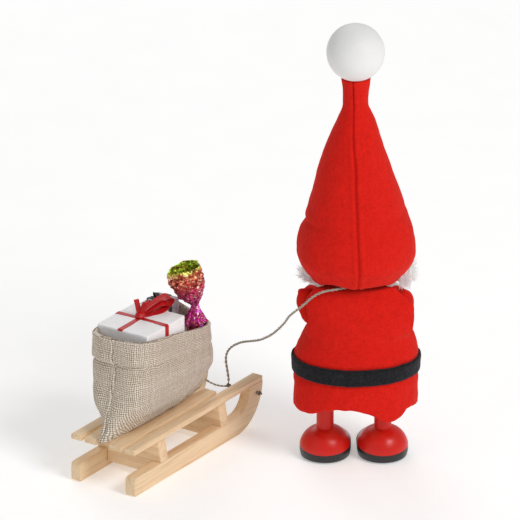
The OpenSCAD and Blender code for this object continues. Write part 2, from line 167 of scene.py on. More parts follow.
def ease(x, low, high):
    """0 below low, 1 above high, smooth between."""
    t = min(1.0, max(0.0, (x - low) / (high - low)))
    return t * t * (3 - 2 * t)


def lump(p, size, seed=0):
    """Smooth noise from about -1 to 1 whose lumps are about size millimetres wide."""
    return noise.noise(Vector(p) / size + Vector((seed * 7.31, seed * 3.17, seed * 5.77)))


def lump_round(angle, size, seed):
    """A lump value that closes up round a circle; size is in degrees."""
    return lump(direction(angle) * DEGREE_R, size, seed)


def direction(angle):
    """The unit vector at an angle in degrees, level."""
    return Vector((cos(radians(angle)), sin(radians(angle)), 0))


def away_from_front(angle):
    """Degrees from the figure's front, which is at 270."""
    return abs((angle - 270 + 540) % 360 - 180)


def all_smooth(mesh):
    mesh.polygons.foreach_set("use_smooth", [True] * len(mesh.polygons))


def object_from(name, skin, uv=None):
    """New object from points and faces in millimetres, row frame, with its faces turned outward."""
    points, faces = skin
    mesh = bpy.data.meshes.new(name)
    mesh.from_pydata([tuple(p) for p in points], [], faces)
    mesh.transform(Matrix.Scale(MM, 4))
    if uv:
        layer = mesh.uv_layers.new(name="weave")
        for loop, place in zip(layer.data, uv):
            loop.uv = place
    all_smooth(mesh)
    mesh.validate()
    mesh.update()
    work = bmesh.new()
    work.from_mesh(mesh)
    bmesh.ops.recalc_face_normals(work, faces=work.faces)
    work.to_mesh(mesh)
    work.free()
    return placed(name, mesh)


def grid_faces(rows, columns, ring=False):
    """Quads over rows of points; a ring joins the last row to the first, else both rows are capped."""
    faces = []
    for i in range(rows if ring else rows - 1):
        low, high = i * columns, (i + 1) % rows * columns
        for j in range(columns):
            k = (j + 1) % columns
            faces.append([low + j, low + k, high + k, high + j])
    if not ring:
        last = (rows - 1) * columns
        faces += [list(range(columns))[::-1], list(range(last, last + columns))]
    return faces


def skin_of(rows, ring=False):
    """Points and faces of a closed skin, from rows of points."""
    return [p for row in rows for p in row], grid_faces(len(rows), len(rows[0]), ring)


def together(skins):
    """Several skins as one."""
    points, faces = [], []
    for more, more_faces in skins:
        start = len(points)
        faces += [[start + i for i in face] for face in more_faces]
        points += more
    return points, faces


def grid_uv(heights, columns, width, caps):
    """UV places of a capped grid: width units round it and a height for each row."""
    uv = []
    for low, high in zip(heights, heights[1:]):
        for j in range(columns):
            left, right = width * j / columns, width * (j + 1) / columns
            uv += [(left, low), (right, low), (right, high), (left, high)]
    return uv + caps


def apply_modifiers(obj):
    done = obj.evaluated_get(bpy.context.evaluated_depsgraph_get())
    mesh = bpy.data.meshes.new_from_object(done)
    obj.modifiers.clear()
    obj.data = mesh
    return obj


def evened(obj, voxel, rounds):
    """Remeshes a piece evenly and softens it."""
    remesh = obj.modifiers.new("even", "REMESH")
    remesh.mode = "VOXEL"
    remesh.voxel_size = voxel * MM
    obj.modifiers.new("soften", "SMOOTH").iterations = rounds
    apply_modifiers(obj)
    all_smooth(obj.data)
    return obj


def displaced(obj, how_far):
    """Moves each point along its normal by how_far(point in mm) millimetres."""
    mesh = obj.data
    normals = [v.normal.copy() for v in mesh.vertices]
    for v, n in zip(mesh.vertices, normals):
        v.co += n * how_far(v.co / MM) * MM
    mesh.update()


def tube_rings(path, radius, sides, twist=0.0):
    """Rings round a path in mm; radius is a function of the share of the way along it."""
    points = [Vector(p) for p in path]
    rings = []
    side = None
    for i, p in enumerate(points):
        along = (points[min(i + 1, len(points) - 1)] - points[max(i - 1, 0)]).normalized()
        if side is None:
            side = along.orthogonal().normalized()
        side = (side - along * side.dot(along)).normalized()
        other = along.cross(side)
        share = i / (len(points) - 1)
        angles = [tau * (k / sides + twist * share) for k in range(sides)]
        rings.append([p + radius(share) * (cos(a) * side + sin(a) * other) for a in angles])
    return rings


def tube(path, radius, sides):
    return skin_of(tube_rings(path, radius, sides))


def smooth_path(route, step):
    """Points about step millimetres apart on a smooth curve through a route."""
    route = [Vector(p) for p in route]
    ends = [2 * route[0] - route[1]] + route + [2 * route[-1] - route[-2]]
    points = []
    for p0, p1, p2, p3 in zip(ends, ends[1:], ends[2:], ends[3:]):
        count = max(1, round((p2 - p1).length / step))
        for k in range(count):
            t = k / count
            square = (2 * p0 - 5 * p1 + 4 * p2 - p3) * t**2
            cube = (3 * p1 - p0 - 3 * p2 + p3) * t**3
            points.append(0.5 * (2 * p1 + (p2 - p0) * t + square + cube))
    return points + [route[-1]]


def length_of(path):
    return sum((b - a).length for a, b in zip(path, path[1:]))


def wear(obj, material, body=None, nodes=()):
    """Gives a piece its material, the body it rides on and the nodes it stands for."""
    obj.data.materials.clear()
    obj.data.materials.append(material)
    if body:
        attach(obj, body)
    if nodes:
        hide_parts(*nodes)
    return obj


# ---------------------------------------------------------------- materials


class Look:
    """A material's node tree, built a node at a time."""

    def __init__(self, name):
        self.material = bpy.data.materials.new(name)
        self.material.use_nodes = True
        self.tree = self.material.node_tree
        self.shader = self.tree.nodes["Principled BSDF"]
        self.place = self.tree.nodes.new("ShaderNodeTexCoord").outputs["Object"]

    def node(self, kind, **inputs):
        made = self.tree.nodes.new("ShaderNode" + kind)
        for key, value in inputs.items():
            self.feed(made.inputs[key.replace("_", " ")], value)
        return made

    def feed(self, socket, value):
        if isinstance(value, bpy.types.NodeSocket):
            self.tree.links.new(value, socket)
        else:
            socket.default_value = value

    def math(self, kind, a, b=0.0):
        made = self.tree.nodes.new("ShaderNodeMath")
        made.operation = kind
        self.feed(made.inputs[0], a)
        self.feed(made.inputs[1], b)
        return made.outputs[0]

    def scaled(self, value, by, plus=None):
        """A value times by, and plus more if that is given."""
        product = self.math("MULTIPLY", value, by)
        return product if plus is None else self.math("ADD", product, plus)

    def uv(self):
        made = self.node("UVMap")
        made.uv_map = "weave"
        return made.outputs["UV"]

    def mapped(self, scale=(1, 1, 1), turn=(0, 0, 0), shift=(0, 0, 0), source=None):
        made = self.node("Mapping", Scale=scale, Rotation=turn, Location=shift)
        self.feed(made.inputs["Vector"], source or self.place)
        return made.outputs["Vector"]

    def noise(self, size, detail=3.0, rough=0.55, source=None, distortion=0.0):
        """Noise whose lumps are about size metres wide."""
        made = self.node(
            "TexNoise", Scale=1 / size, Detail=detail, Roughness=rough, Distortion=distortion
        )
        self.feed(made.inputs["Vector"], source or self.place)
        return made.outputs["Fac"]

    def ramp(self, fac, stops):
        made = self.node("ValToRGB", Fac=fac)
        ramp = made.color_ramp
        while len(ramp.elements) < len(stops):
            ramp.elements.new(0.5)
        for element, (at, colour) in zip(ramp.elements, stops):
            element.position = at
            element.color = (*colour, 1)
        return made.outputs["Color"]

    def mix(self, fac, a, b, kind="MIX"):
        made = self.tree.nodes.new("ShaderNodeMix")
        made.data_type = "RGBA"
        made.blend_type = kind
        self.feed(made.inputs["Factor"], fac)
        for socket, value in ((made.inputs[6], a), (made.inputs[7], b)):
            self.feed(socket, (*value, 1) if isinstance(value, tuple) else value)
        return made.outputs[2]

    def bump(self, height, depth, strength=1.0):
        """Relief whose full height is depth metres; it adds to any relief already there."""
        made = self.node("Bump", Strength=strength, Distance=depth, Height=height)
        old = self.shader.inputs["Normal"].links
        if old:
            self.feed(made.inputs["Normal"], old[0].from_socket)
        self.feed(self.shader.inputs["Normal"], made.outputs["Normal"])

    def set(self, **values):
        for key, value in values.items():
            self.feed(self.shader.inputs[key.replace("_", " ")], value)
        return self.material


def felt(name, colour, shade, glow, sheen):
    """Pressed wool: mottled colour, matted fibres running every way, a soft sheen."""
    look = Look(name)
    mottle = look.noise(0.003, 4)
    hairs = look.noise(0.0008, 5, 0.7, look.mapped(scale=(1, 1, 0.35), turn=(0.5, 0.3, 0.2)), 1.2)
    cross = look.noise(0.0007, 5, 0.7, look.mapped(scale=(0.35, 1, 1), turn=(0.2, 0.6, 0.9)), 1.2)
    matted = look.math("ADD", look.scaled(hairs, 0.5), look.scaled(cross, 0.5))
    wide = look.ramp(mottle, [(0.3, tuple(0.86 * c for c in colour)), (0.6, colour)])
    fine = look.ramp(matted, [(0.38, shade), (0.5, colour), (0.64, glow)])
    look.bump(mottle, 0.0004, 0.4)
    look.bump(matted, 0.00035, 0.9)
    return look.set(
        Base_Color=look.mix(0.5, wide, fine),
        Roughness=0.95,
        Specular_IOR_Level=0.15,
        Sheen_Weight=0.22,
        Sheen_Roughness=0.45,
        Sheen_Tint=(*sheen, 1),
    )


def wool(name):
    """Combed white wool, with a faint bluish-white painted glow that brightens it where it lies in shade."""
    look = Look(name)
    strands = look.noise(0.0006, 4, 0.6, look.mapped(scale=(1, 1, 0.25)))
    look.bump(strands, 0.0002, 0.6)
    return look.set(
        Base_Color=look.ramp(strands, [(0.3, (0.90, 0.895, 0.88)), (0.6, (0.985, 0.98, 0.97))]),
        Roughness=0.9,
        Sheen_Weight=0.4,
        Subsurface_Weight=0.35,
        Subsurface_Radius=(1, 1, 0.95),
        Subsurface_Scale=0.003,
        # Painted light: a faint emission makes the wool glow, though it is no lamp, so it stays bright in
        # shade.
        Emission_Color=(0.94, 0.97, 1, 1),
        Emission_Strength=0.06,
    )


def paint(name, colour, shade, rough, coat):
    """Brushed paint on turned wood, with faint turning marks and rubbed spots."""
    look = Look(name)
    brushed = look.noise(0.0016, 3, 0.5, look.mapped(scale=(1, 1, 0.4)))
    patches = look.noise(0.007, 2)
    turned = look.noise(0.0009, 2, 0.5, look.mapped(scale=(0.15, 0.15, 1)))
    colour_mix = look.mix(look.scaled(patches, 0.5), colour, shade)
    look.bump(turned, 0.00006, 0.5)
    look.bump(brushed, 0.0001, 0.4)
    shine = look.scaled(brushed, 0.22, rough)
    return look.set(
        Base_Color=look.mix(look.scaled(brushed, 0.35), colour_mix, shade),
        Roughness=shine,
        Specular_IOR_Level=0.3,
        Coat_Weight=coat,
        Coat_Roughness=0.3,
    )


def pine(name, number, across=False):
    """Pale planed pine with its grain along the board."""
    look = Look(name)
    turn = radians(SLED_TURN + (90 if across else 0))
    board = look.mapped(turn=(0, 0, turn), shift=(0.013 * number, 0.0071 * number, 0.0037 * number))
    rings = look.noise(0.0042, 3, 0.5, look.mapped(scale=(0.06, 1.0, 1.3), source=board), 0.6)
    fibre = look.noise(0.00065, 4, 0.65, look.mapped(scale=(0.05, 1, 1), source=board))
    tone = look.noise(0.03, 2, 0.5, board)
    grain = look.ramp(
        rings, [(0.34, (0.76, 0.50, 0.27)), (0.5, (0.88, 0.66, 0.42)), (0.62, (0.70, 0.43, 0.21))]
    )
    fine = look.ramp(fibre, [(0.3, (0.56, 0.33, 0.16)), (0.52, (0.90, 0.70, 0.46))])
    base = look.mix(0.4, grain, fine)
    look.bump(rings, 0.00012, 0.35)
    look.bump(fibre, 0.00012, 0.5)
    return look.set(
        Base_Color=look.mix(look.scaled(tone, 0.3), base, (0.90, 0.72, 0.50)),
        Roughness=look.scaled(fibre, 0.25, 0.42),
        Specular_IOR_Level=0.35,
    )


def bare_wood(name):
    """Sanded beech of the inner pieces."""
    look = Look(name)
    fibre = look.noise(0.0008, 4, 0.6, look.mapped(scale=(1, 1, 0.08)))
    look.bump(fibre, 0.0001, 0.4)
    return look.set(
        Base_Color=look.ramp(fibre, [(0.35, (0.68, 0.48, 0.29)), (0.65, (0.84, 0.67, 0.46))]),
        Roughness=0.6,
    )


def linen(name):
    """Coarse plain weave, with painted shade between its threads and paler painted crowns; the UV map counts
    threads across and up.
    """
    look = Look(name)
    drift = look.noise(0.006, 2)
    wander = look.node("VectorMath")
    wander.operation = "ADD"
    pushed = look.node("CombineXYZ", X=look.scaled(drift, 2.6), Y=look.scaled(drift, 2.0))
    look.feed(wander.inputs[0], look.uv())
    look.feed(wander.inputs[1], pushed.outputs["Vector"])
    split = look.node("SeparateXYZ", Vector=wander.outputs["Vector"])
    waves, tones = [], []
    for axis in "XY":
        thread = split.outputs[axis]
        waves.append(look.math("SINE", look.scaled(thread, pi)))
        number = look.node("CombineXYZ", **{axis: look.math("FLOOR", thread)})
        tones.append(look.node("TexWhiteNoise", Vector=number.outputs[0]).outputs["Value"])
    crossing = look.math("MULTIPLY", *[look.math("ABSOLUTE", wave) for wave in waves])
    height = look.math("ADD", crossing, look.scaled(look.math("MULTIPLY", *waves), 0.22))
    slub = look.noise(0.0007, 3, 0.6)
    # Painted shade and light: the gaps between threads are painted dark brown as shade, and the thread crowns
    # are painted paler as lit tops.
    weave = look.ramp(
        look.math("ADD", height, look.scaled(slub, 0.5)),
        [(0.26, (0.20, 0.14, 0.09)), (0.6, (0.78, 0.67, 0.54)), (0.95, (0.98, 0.91, 0.81))],
    )
    tone = look.scaled(look.math("ADD", *tones), 0.5)
    streak = look.ramp(tone, [(0.1, (0.82, 0.77, 0.71)), (0.8, (1, 1, 1))])
    look.bump(height, 0.00025, 0.9)
    look.bump(slub, 0.0001, 0.5)
    return look.set(
        Base_Color=look.mix(0.75, weave, streak, "MULTIPLY"),
        Roughness=0.92,
        Sheen_Weight=0.12,
        Specular_IOR_Level=0.2,
    )


def paper(name, colour, shade):
    """Thin wrapping paper with faint creases."""
    look = Look(name)
    pulp = look.noise(0.0011, 4, 0.6)
    creases = look.noise(0.006, 2, 0.4, None, 0.8)
    look.bump(creases, 0.0006, 0.4)
    look.bump(pulp, 0.00006, 0.4)
    return look.set(
        Base_Color=look.ramp(pulp, [(0.25, shade), (0.6, colour)]),
        Roughness=0.55,
        Specular_IOR_Level=0.35,
    )


def satin(name, colour, shade, rough=0.28):
    """Woven ribbon with fine ribs, and blotches of painted shade where the satin would crumple."""
    look = Look(name)
    ribs = look.noise(0.00025, 2, 0.5, look.mapped(scale=(1, 1, 3)))
    tone = look.noise(0.003, 2)
    look.bump(ribs, 0.00008, 0.6)
    return look.set(
        # Painted shade: noise blotches mix in the much darker shade colour for the dark crumples of the satin.
        Base_Color=look.mix(look.scaled(tone, 0.8), colour, shade),
        Roughness=look.scaled(ribs, 0.2, rough),
        Specular_IOR_Level=0.35,
        Coat_Weight=0.08,
        Coat_Roughness=0.25,
    )


def foil(name):
    """Metallised foil, magenta, red, gold and olive as the UV map's height runs from tail to rim, with painted
    reflections in its colour.
    """
    look = Look(name)
    share = look.node("SeparateXYZ", Vector=look.uv()).outputs["Y"]
    patches = look.noise(0.0021, 3, 0.6)
    mixed = look.math("ADD", share, look.scaled(look.math("SUBTRACT", patches, 0.5), 0.14))
    colour = look.ramp(
        mixed,
        [
            (0.0, (0.55, 0.03, 0.16)),
            (0.4, (0.62, 0.03, 0.24)),
            (0.55, (0.60, 0.03, 0.14)),
            (0.68, (0.58, 0.04, 0.05)),
            (0.84, (0.70, 0.12, 0.05)),
            (0.9, (0.85, 0.62, 0.10)),
            (0.96, (0.50, 0.47, 0.04)),
        ],
    )
    dents = look.noise(0.0011, 3, 0.6, None, 0.8)
    # Painted reflections: pale pinkish-gold specks below the rim stand in for small reflections on the foil.
    spots = look.noise(0.0009, 2, 0.5)
    dotted = look.math("GREATER_THAN", spots, 0.57)
    reflection_specks = look.math("MULTIPLY", dotted, look.math("LESS_THAN", mixed, 0.88))
    # Painted reflection: dark patches and bright patches, some brighter than white, are multiplied into the
    # foil's colour in place of what the metal would reflect.
    painted_reflections = look.ramp(
        look.noise(0.0019, 3, 0.55, None, 1.6),
        [(0.36, (0.16, 0.1, 0.12)), (0.46, (0.75, 0.7, 0.7)), (0.56, (1.1, 1.1, 1.1)), (0.62, (1.6, 5, 4.5))],
    )
    shown = look.mix(look.scaled(reflection_specks, 0.45), colour, (0.92, 0.55, 0.36))
    look.bump(dents, 0.0008, 0.8)
    return look.set(
        Base_Color=look.mix(1.0, shown, painted_reflections, "MULTIPLY"),
        Metallic=0.6,
        Roughness=look.scaled(dents, 0.25, 0.16),
    )


def strand(name, colour, shade):
    """Twisted linen yarn."""
    look = Look(name)
    fibre = look.noise(0.0003, 4, 0.7)
    tone = look.noise(0.004, 2)
    look.bump(fibre, 0.00018, 0.9)
    return look.set(
        Base_Color=look.mix(look.scaled(tone, 0.7), look.ramp(fibre, [(0.3, shade), (0.65, colour)]), shade),
        Roughness=0.95,
        Sheen_Weight=0.2,
    )


def bead(name, colour, shade, rough):
    """Smooth lacquer with faint specks."""
    look = Look(name)
    specks = look.noise(0.0008, 3)
    look.bump(specks, 0.00003, 0.4)
    return look.set(
        Base_Color=look.mix(specks, colour, shade),
        Roughness=look.scaled(specks, 0.15, rough),
    )


CHEEK_R = 0.0048  # metres


def skin_paint(name, cheeks):
    """Flesh paint on a wooden ball with rosy cheeks."""
    look = Look(name)
    rosy = None
    for centre in cheeks:
        apart = look.node("VectorMath")
        apart.operation = "DISTANCE"
        look.feed(apart.inputs[0], look.place)
        apart.inputs[1].default_value = centre
        spot = look.math("SUBTRACT", 1.0, look.math("DIVIDE", apart.outputs["Value"], CHEEK_R))
        spot = look.math("MAXIMUM", spot, 0.0)
        rosy = spot if rosy is None else look.math("MAXIMUM", rosy, spot)
    grain = look.noise(0.0016, 3, 0.5, look.mapped(scale=(1, 1, 0.3)))
    look.bump(grain, 0.00008, 0.4)
    base = look.ramp(grain, [(0.3, (0.80, 0.55, 0.40)), (0.65, (0.88, 0.66, 0.50))])
    return look.set(
        Base_Color=look.mix(look.scaled(rosy, 0.75), base, (0.82, 0.25, 0.18)),
        Roughness=0.5,
    )


def floor_look():
    look = Look("floor_paint")
    fine = look.noise(0.02, 3)
    return look.set(
        Base_Color=look.ramp(fine, [(0.2, (0.90, 0.90, 0.90)), (0.8, (0.93, 0.93, 0.93))]),
        Emission_Color=(1, 1, 1, 1),
        Emission_Strength=0.3,
        Roughness=0.9,
        Specular_IOR_Level=0.1,
    )


RED_FELT = felt("red_felt", (0.72, 0.012, 0.006), (0.53, 0.006, 0.004), (0.84, 0.022, 0.012), (1, 0.2, 0.15))
BLACK_FELT = felt(
    "black_felt", (0.012, 0.012, 0.014), (0.004, 0.004, 0.005), (0.05, 0.05, 0.055), (0.5, 0.5, 0.55)
)
WHITE_FELT = felt("white_felt", (0.86, 0.85, 0.82), (0.66, 0.65, 0.62), (0.95, 0.94, 0.92), (1, 1, 1))
WASHER_FELT = felt("washer_felt", (0.40, 0.31, 0.22), (0.25, 0.19, 0.13), (0.55, 0.45, 0.33), (1, 0.9, 0.8))
WHITE_WOOL = wool("white_wool")
RED_PAINT = paint("red_paint", (0.72, 0.014, 0.007), (0.55, 0.008, 0.004), 0.22, 0.12)
LEG_PAINT = paint("leg_paint", (0.72, 0.018, 0.009), (0.55, 0.010, 0.005), 0.32, 0.05)
BLACK_PAINT = paint("black_paint", (0.012, 0.012, 0.013), (0.03, 0.03, 0.032), 0.3, 0.3)
BALL_PAINT = paint("ball_paint", (0.86, 0.86, 0.85), (0.78, 0.78, 0.77), 0.45, 0.05)
INNER_WOOD = bare_wood("inner_wood")
LINEN = linen("linen")
WHITE_PAPER = paper("white_paper", (0.97, 0.97, 0.98), (0.88, 0.88, 0.90))
GREY_PAPER = paper("grey_paper", (0.62, 0.64, 0.66), (0.42, 0.44, 0.46))
RED_RIBBON = satin("red_ribbon", (0.68, 0.010, 0.012), (0.30, 0.003, 0.006))
DARK_RIBBON = satin("dark_ribbon", (0.035, 0.035, 0.04), (0.015, 0.015, 0.02))
TWINE = strand("twine", (0.70, 0.64, 0.55), (0.28, 0.24, 0.19))
KNOT_TWINE = strand("knot_twine", (0.34, 0.27, 0.21), (0.12, 0.09, 0.07))
WADDING = felt("wadding", (0.80, 0.77, 0.70), (0.62, 0.59, 0.52), (0.92, 0.90, 0.85), (1, 1, 0.95))
STEEL = bead("steel_pin", (0.55, 0.55, 0.56), (0.42, 0.42, 0.43), 0.25)
EYE_PAINT = bead("eye_paint", (0.008, 0.008, 0.008), (0.02, 0.02, 0.02), 0.08)
SWEET = bead("sweet_body", (0.60, 0.36, 0.12), (0.42, 0.22, 0.07), 0.35)

# ---------------------------------------------------------------- cords

# The twine's route, from the nape down to the knot between the runners, and the bridle's, on the sled
TWINE_ROUTE = [
    (-35, 13.2, 66.7), (-33, 15, 67.2), (-30.8, 16.2, 67.3), (-28.6, 15.8, 66.8), (-26.4, 15.2, 65.9),
    (-24.5, 14.5, 64.6), (-23, 13.8, 63.2), (-21.4, 13.2, 61.4), (-19.2, 12.3, 59), (-17.2, 10.3, 56.5),
    (-15.4, 7.1, 53.5), (-14.2, 4.4, 50.4), (-12.7, 1.6, 47.4), (-11.2, -1.4, 44.6), (-9.6, -4.6, 41.8),
    (-7.6, -8.4, 39), (-5.6, -12.4, 36.4), (-3.2, -16, 34.4), (-0.8, -19.6, 32.6), (1.4, -22.8, 30.8),
    (3.4, -25.8, 28.6), (5.2, -28, 26.2), (6.2, -29.4, 23.8), (6.5, -30, 21.2), (6.2, -30.1, 18.4),
    (5.8, -30.2, 15.6), (5.5, -30.2, 13.1),
]
BRIDLE_ROUTE = [
    (75, -15, 12), (75, -13.4, 12), (75, -11.4, 12), (75, -9.4, 12), (75.2, -6.8, 11.2), (75.6, -4, 10.9),
    (75.9, -1, 11.1), (75.8, 1.6, 10.5), (75.5, 4.4, 10.4), (75.2, 7, 11), (75, 9.4, 12),
    (75, 11.4, 12), (75, 13.4, 12), (75, 15, 12),
]
TWINE_D = 1.15
STRAND_D = 0.9
TOW_KNOT = (75.9, -0.6, 11.2)
KNOT_Y = 26.7 / 2 + 1.15  # just outside the runners
# Thickness and distance from the middle of each yarn, as shares of the cord's
YARN_R = 0.21
YARN_OFF = 0.19
YARN_SIDES = 7
PATH_STEP = 0.25


def twisted(name, route, diameter, pitch, hairs, seed):
    """Two yarns twisted together along a route, with loose hairs; returns the piece and its middle line."""
    path = smooth_path(route, PATH_STEP)
    rng = random.Random(seed)
    pairs = tube_rings(path, lambda t: diameter * YARN_OFF, 2, length_of(path) / pitch)
    skins = []
    for half in (0, 1):

        def uneven(t, half=half):
            return diameter * YARN_R * (1 + 0.22 * lump((t * 60, half * 9, seed), 1.3))

        skins.append(tube([pair[half] for pair in pairs], uneven, YARN_SIDES))
    for _ in range(hairs):
        i = rng.randrange(3, len(path) - 3)
        along = (path[i + 1] - path[i - 1]).normalized()
        out = Vector([rng.uniform(-1, 1) for _ in range(3)])
        out = (out - along * out.dot(along)).normalized()
        far = rng.uniform(0.5, 1.1)
        hair = [path[i] + out * diameter * 0.3, path[i] + out * far + along * rng.uniform(-0.8, 0.8)]
        skins.append(tube(hair, lambda t: 0.05 - 0.02 * t, 3))
    return object_from(name, together(skins)), [p * MM for p in path]


def knot(name, centre, size, turn, tail):
    """A small overhand knot of thin yarn, with an end sticking out."""
    centre, tail = Vector(centre), Vector(tail)
    line = []
    for i in range(60):
        t = tau * i / 60
        loop = Vector((sin(t) + 2 * sin(2 * t), cos(t) - 2 * cos(2 * t), -1.2 * sin(3 * t)))
        line.append(centre + turn @ (loop * size / 3.2))
    thick = size * 0.34
    end = smooth_path([centre, centre + tail * 0.5, centre + tail], 0.3)
    round_trip = tube(line + [line[0]], lambda t: thick, YARN_SIDES)
    return object_from(name, together([round_trip, tube(end, lambda t: thick * (1 - 0.5 * t), YARN_SIDES)]))


def cords():
    """The twine and the bridle, with the knots that end them."""
    flat = Matrix.Identity(3)
    upright = Matrix.Rotation(radians(90), 3, "X") @ Matrix.Rotation(radians(40), 3, "Z")
    tow, tow_path = twisted("tow_twine_yarn", TWINE_ROUTE, TWINE_D, 3.4, 70, 5)
    wear(tow, TWINE, None, ["tow_twine"])
    bridle_route = [on_sled(p) for p in BRIDLE_ROUTE]
    bridle, bridle_path = twisted("bridle_yarn", bridle_route, STRAND_D, 2.8, 14, 9)
    wear(bridle, TWINE, "sled", ["bridle"])
    middle = knot("tow_knot_yarn", on_sled(TOW_KNOT), 0.85, flat, (-0.15, 0, 2.1))
    wear(middle, KNOT_TWINE, "sled", ["tow_knot"])
    for side, word in SIDES:
        place = on_sled((75, side * KNOT_Y, 12))
        tail = SLED.to_3x3() @ Vector((0.2, side * 0.8, -0.4))
        end = knot(word + "_knot_yarn", place, 0.68, upright, tail)
        wear(end, KNOT_TWINE, "sled", [word + "_knot"])
    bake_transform(tow)


cords()

# ---------------------------------------------------------------- hat

FELT = 1.2
HAT_TOP = 141.0
HAT_BALL_R = 10.0
HAT_BALL_Z = 150.0
# Half width at each height, on the figure's left and on its right
HAT_LEFT = [
    (66, 14.6), (68.6, 15.6), (70, 16.9), (73.4, 18.9), (77.2, 19.9), (81, 19.8), (85.5, 18.6), (88, 17.3),
    (90.5, 16.7), (96, 15.7), (103.6, 13.8), (111, 11.7), (118.6, 9.1), (122.5, 7.5), (126.2, 6), (128.8, 5),
    (131.5, 4.5), (136, 4.5), (139, 4.7), (141, 4.9),
]
HAT_RIGHT = [
    (66, 14.8), (68.6, 16.2), (70, 17.7), (73.4, 20), (77.2, 20.9), (81, 20.8), (85.5, 20), (90, 18.5),
    (96, 16.5), (103.6, 13.9), (111, 11.4), (118.6, 8.8), (122.5, 7.5), (126.2, 6.2), (128.8, 5.1),
    (131.5, 4.3), (136, 4.6), (139, 5), (141, 5.2),
]
HAT_ROUND = [(66, 0.87), (90, 0.88), (118, 1), (141, 1)]
# Height of the rim at each angle from the front: a hood open over the face
HAT_RIM = [
    (0, 88), (22, 87), (38, 80), (50, 70.2), (60, 67.2), (75, 66.5), (100, 66.5), (125, 67.2), (150, 68.0),
    (180, 67.6),
]


def garment(name, angles, up, down, low_at, top, surface, inner, relief, edge):
    """A felt skin: up its outside from the lower edge to the top, and down its inside in even steps."""
    rounding, rounding_share = edge
    columns = []
    for angle in angles:
        low = low_at(angle)
        column = []
        for t in up:
            z = low + (top - low) * t
            p = surface(angle, z, 0)
            column.append(p + direction(angle) * (relief(angle, z, p) - rounding * bell(t, rounding_share)))
        for k in range(down + 1):
            t = 1 - k / down
            column.append(inner(angle, low + (top - low) * t, FELT - 0.25 * bell(t, 0.02)))
        columns.append([on_figure(p) for p in column])
    return object_from(name, skin_of(columns, ring=True))


def hat_surface(angle, z, inset):
    c, s = cos(radians(angle)), sin(radians(angle))
    left, right = curve_at(z, HAT_LEFT), curve_at(z, HAT_RIGHT)
    wide = right + (left - right) * (c + 1) / 2
    deep = (left + right) / 2 * curve_at(z, HAT_ROUND)
    return Vector(((wide - inset) * c, (deep - inset) * s, z))


def hat_relief(angle, z, p):
    """Seam at the back, a fold at the left, and soft dents, as millimetres outward."""
    seam_angle = BACK + 4.2 * (1 - ease(z, 68, 108)) - 14 * ease(z, 106, 138)
    off = hypot(p.x, p.y) * radians(angle - seam_angle) + 0.22 * lump((0, 0, z), 9, 3)
    pucker = 1 + 0.35 * sin(tau * z / 3.4)
    seam = -0.8 * bell(off, 0.42) + 0.3 * pucker * (bell(off - 1.1, 0.8) + bell(off + 1.1, 0.8))
    left = ease(cos(radians(angle)), 0.25, 0.95)
    fold = -0.75 * left * bell(z - 88.6 - 0.02 * p.y, 0.9) + 0.3 * left * bell(z - 91.5, 2)
    right = ease(-cos(radians(angle)), 0.1, 0.8)
    fold += -0.3 * right * bell(z - 93 + 0.1 * p.y, 1.6)
    curl = -0.35 * bell(z - 71.5, 1.2) * ease(p.y, 2, 9)
    dents = 0.45 * lump((p.x, p.y, p.z * 0.6), 9, 1) + 0.14 * lump(p, 2.6, 2)
    return (seam if abs(off) < 6 else 0) + fold + curl + dents * ease(z, 66, 72)


def hat():
    angles = [BACK - 12 + 0.5 * k for k in range(49)]
    angles += [BACK + 12 + 2.1 * k for k in range(1, 160)]
    up = [0, 0.004, 0.01, 0.02, 0.035] + [0.035 + 0.965 * (k / 84) for k in range(1, 85)]

    def rim(angle):
        wave = 0.9 * bell(angle % 360 - 62, 13) + 0.25 * lump_round(angle, 9, 4)
        return curve_at(away_from_front(angle), HAT_RIM) + wave

    edge = (0.45, 0.006)
    obj = garment("hat_felt", angles, up, 24, rim, HAT_TOP, hat_surface, hat_surface, hat_relief, edge)
    wear(obj, RED_FELT, "head", ["hat"])


hat()


def ball(centre, radii, rows, columns, relief, place=on_figure, first=0.03):
    """A ball-like skin: radii across, deep and high; relief adds millimetres outward."""
    rings = []
    for i in range(rows + 1):
        tilt = pi * (first + 0.94 * i / rows)
        ring = []
        for j in range(columns):
            a = tau * j / columns
            n = Vector((sin(tilt) * cos(a), sin(tilt) * sin(a), -cos(tilt)))
            p = Vector((n.x * radii[0], n.y * radii[1], n.z * radii[2]))
            ring.append(place(Vector(centre) + p + n * relief(p)))
        rings.append(ring)
    return skin_of(rings)


def hat_ball():
    """Painted wooden ball, a little flattened at its hole."""

    def relief(p):
        tilt = acos(max(-1, min(1, -p.z / HAT_BALL_R)))
        return 0.03 * lump(p, 4, 8) - 0.2 * bell(tilt - 0.19, 0.08)

    skin = ball((0, 0, HAT_BALL_Z), (HAT_BALL_R,) * 3, 64, 96, relief, first=0.06)
    wear(object_from("hat_ball_wood", skin), BALL_PAINT, "head", ["hat_ball"])


hat_ball()

# ---------------------------------------------------------------- coat and belt

COAT_LEFT = [
    (17, 21), (21, 21.3), (28, 21), (32, 20.7), (35.6, 20.1), (39, 20.6), (41.8, 19.5), (46.3, 17.8),
    (50, 15.9), (52, 14.2), (54, 13), (58, 11.6), (62, 10.9), (66, 10),
]
COAT_RIGHT = [
    (17, 21.6), (21, 22), (28, 22.1), (32, 21.8), (35.6, 21.3), (39, 22), (41.8, 21.7), (46.3, 20.6),
    (49, 18.4), (51, 15.8), (53, 13.8), (55, 12.5), (58, 11.6), (62, 10.9), (66, 10),
]
COAT_DEPTH = [
    (17, 16), (26, 16.4), (32, 16.1), (35.6, 15.5), (39, 16), (42.5, 15.5), (50, 14), (54, 13.5), (58, 12.9),
    (62, 12.2), (64.5, 11), (66, 10),
]
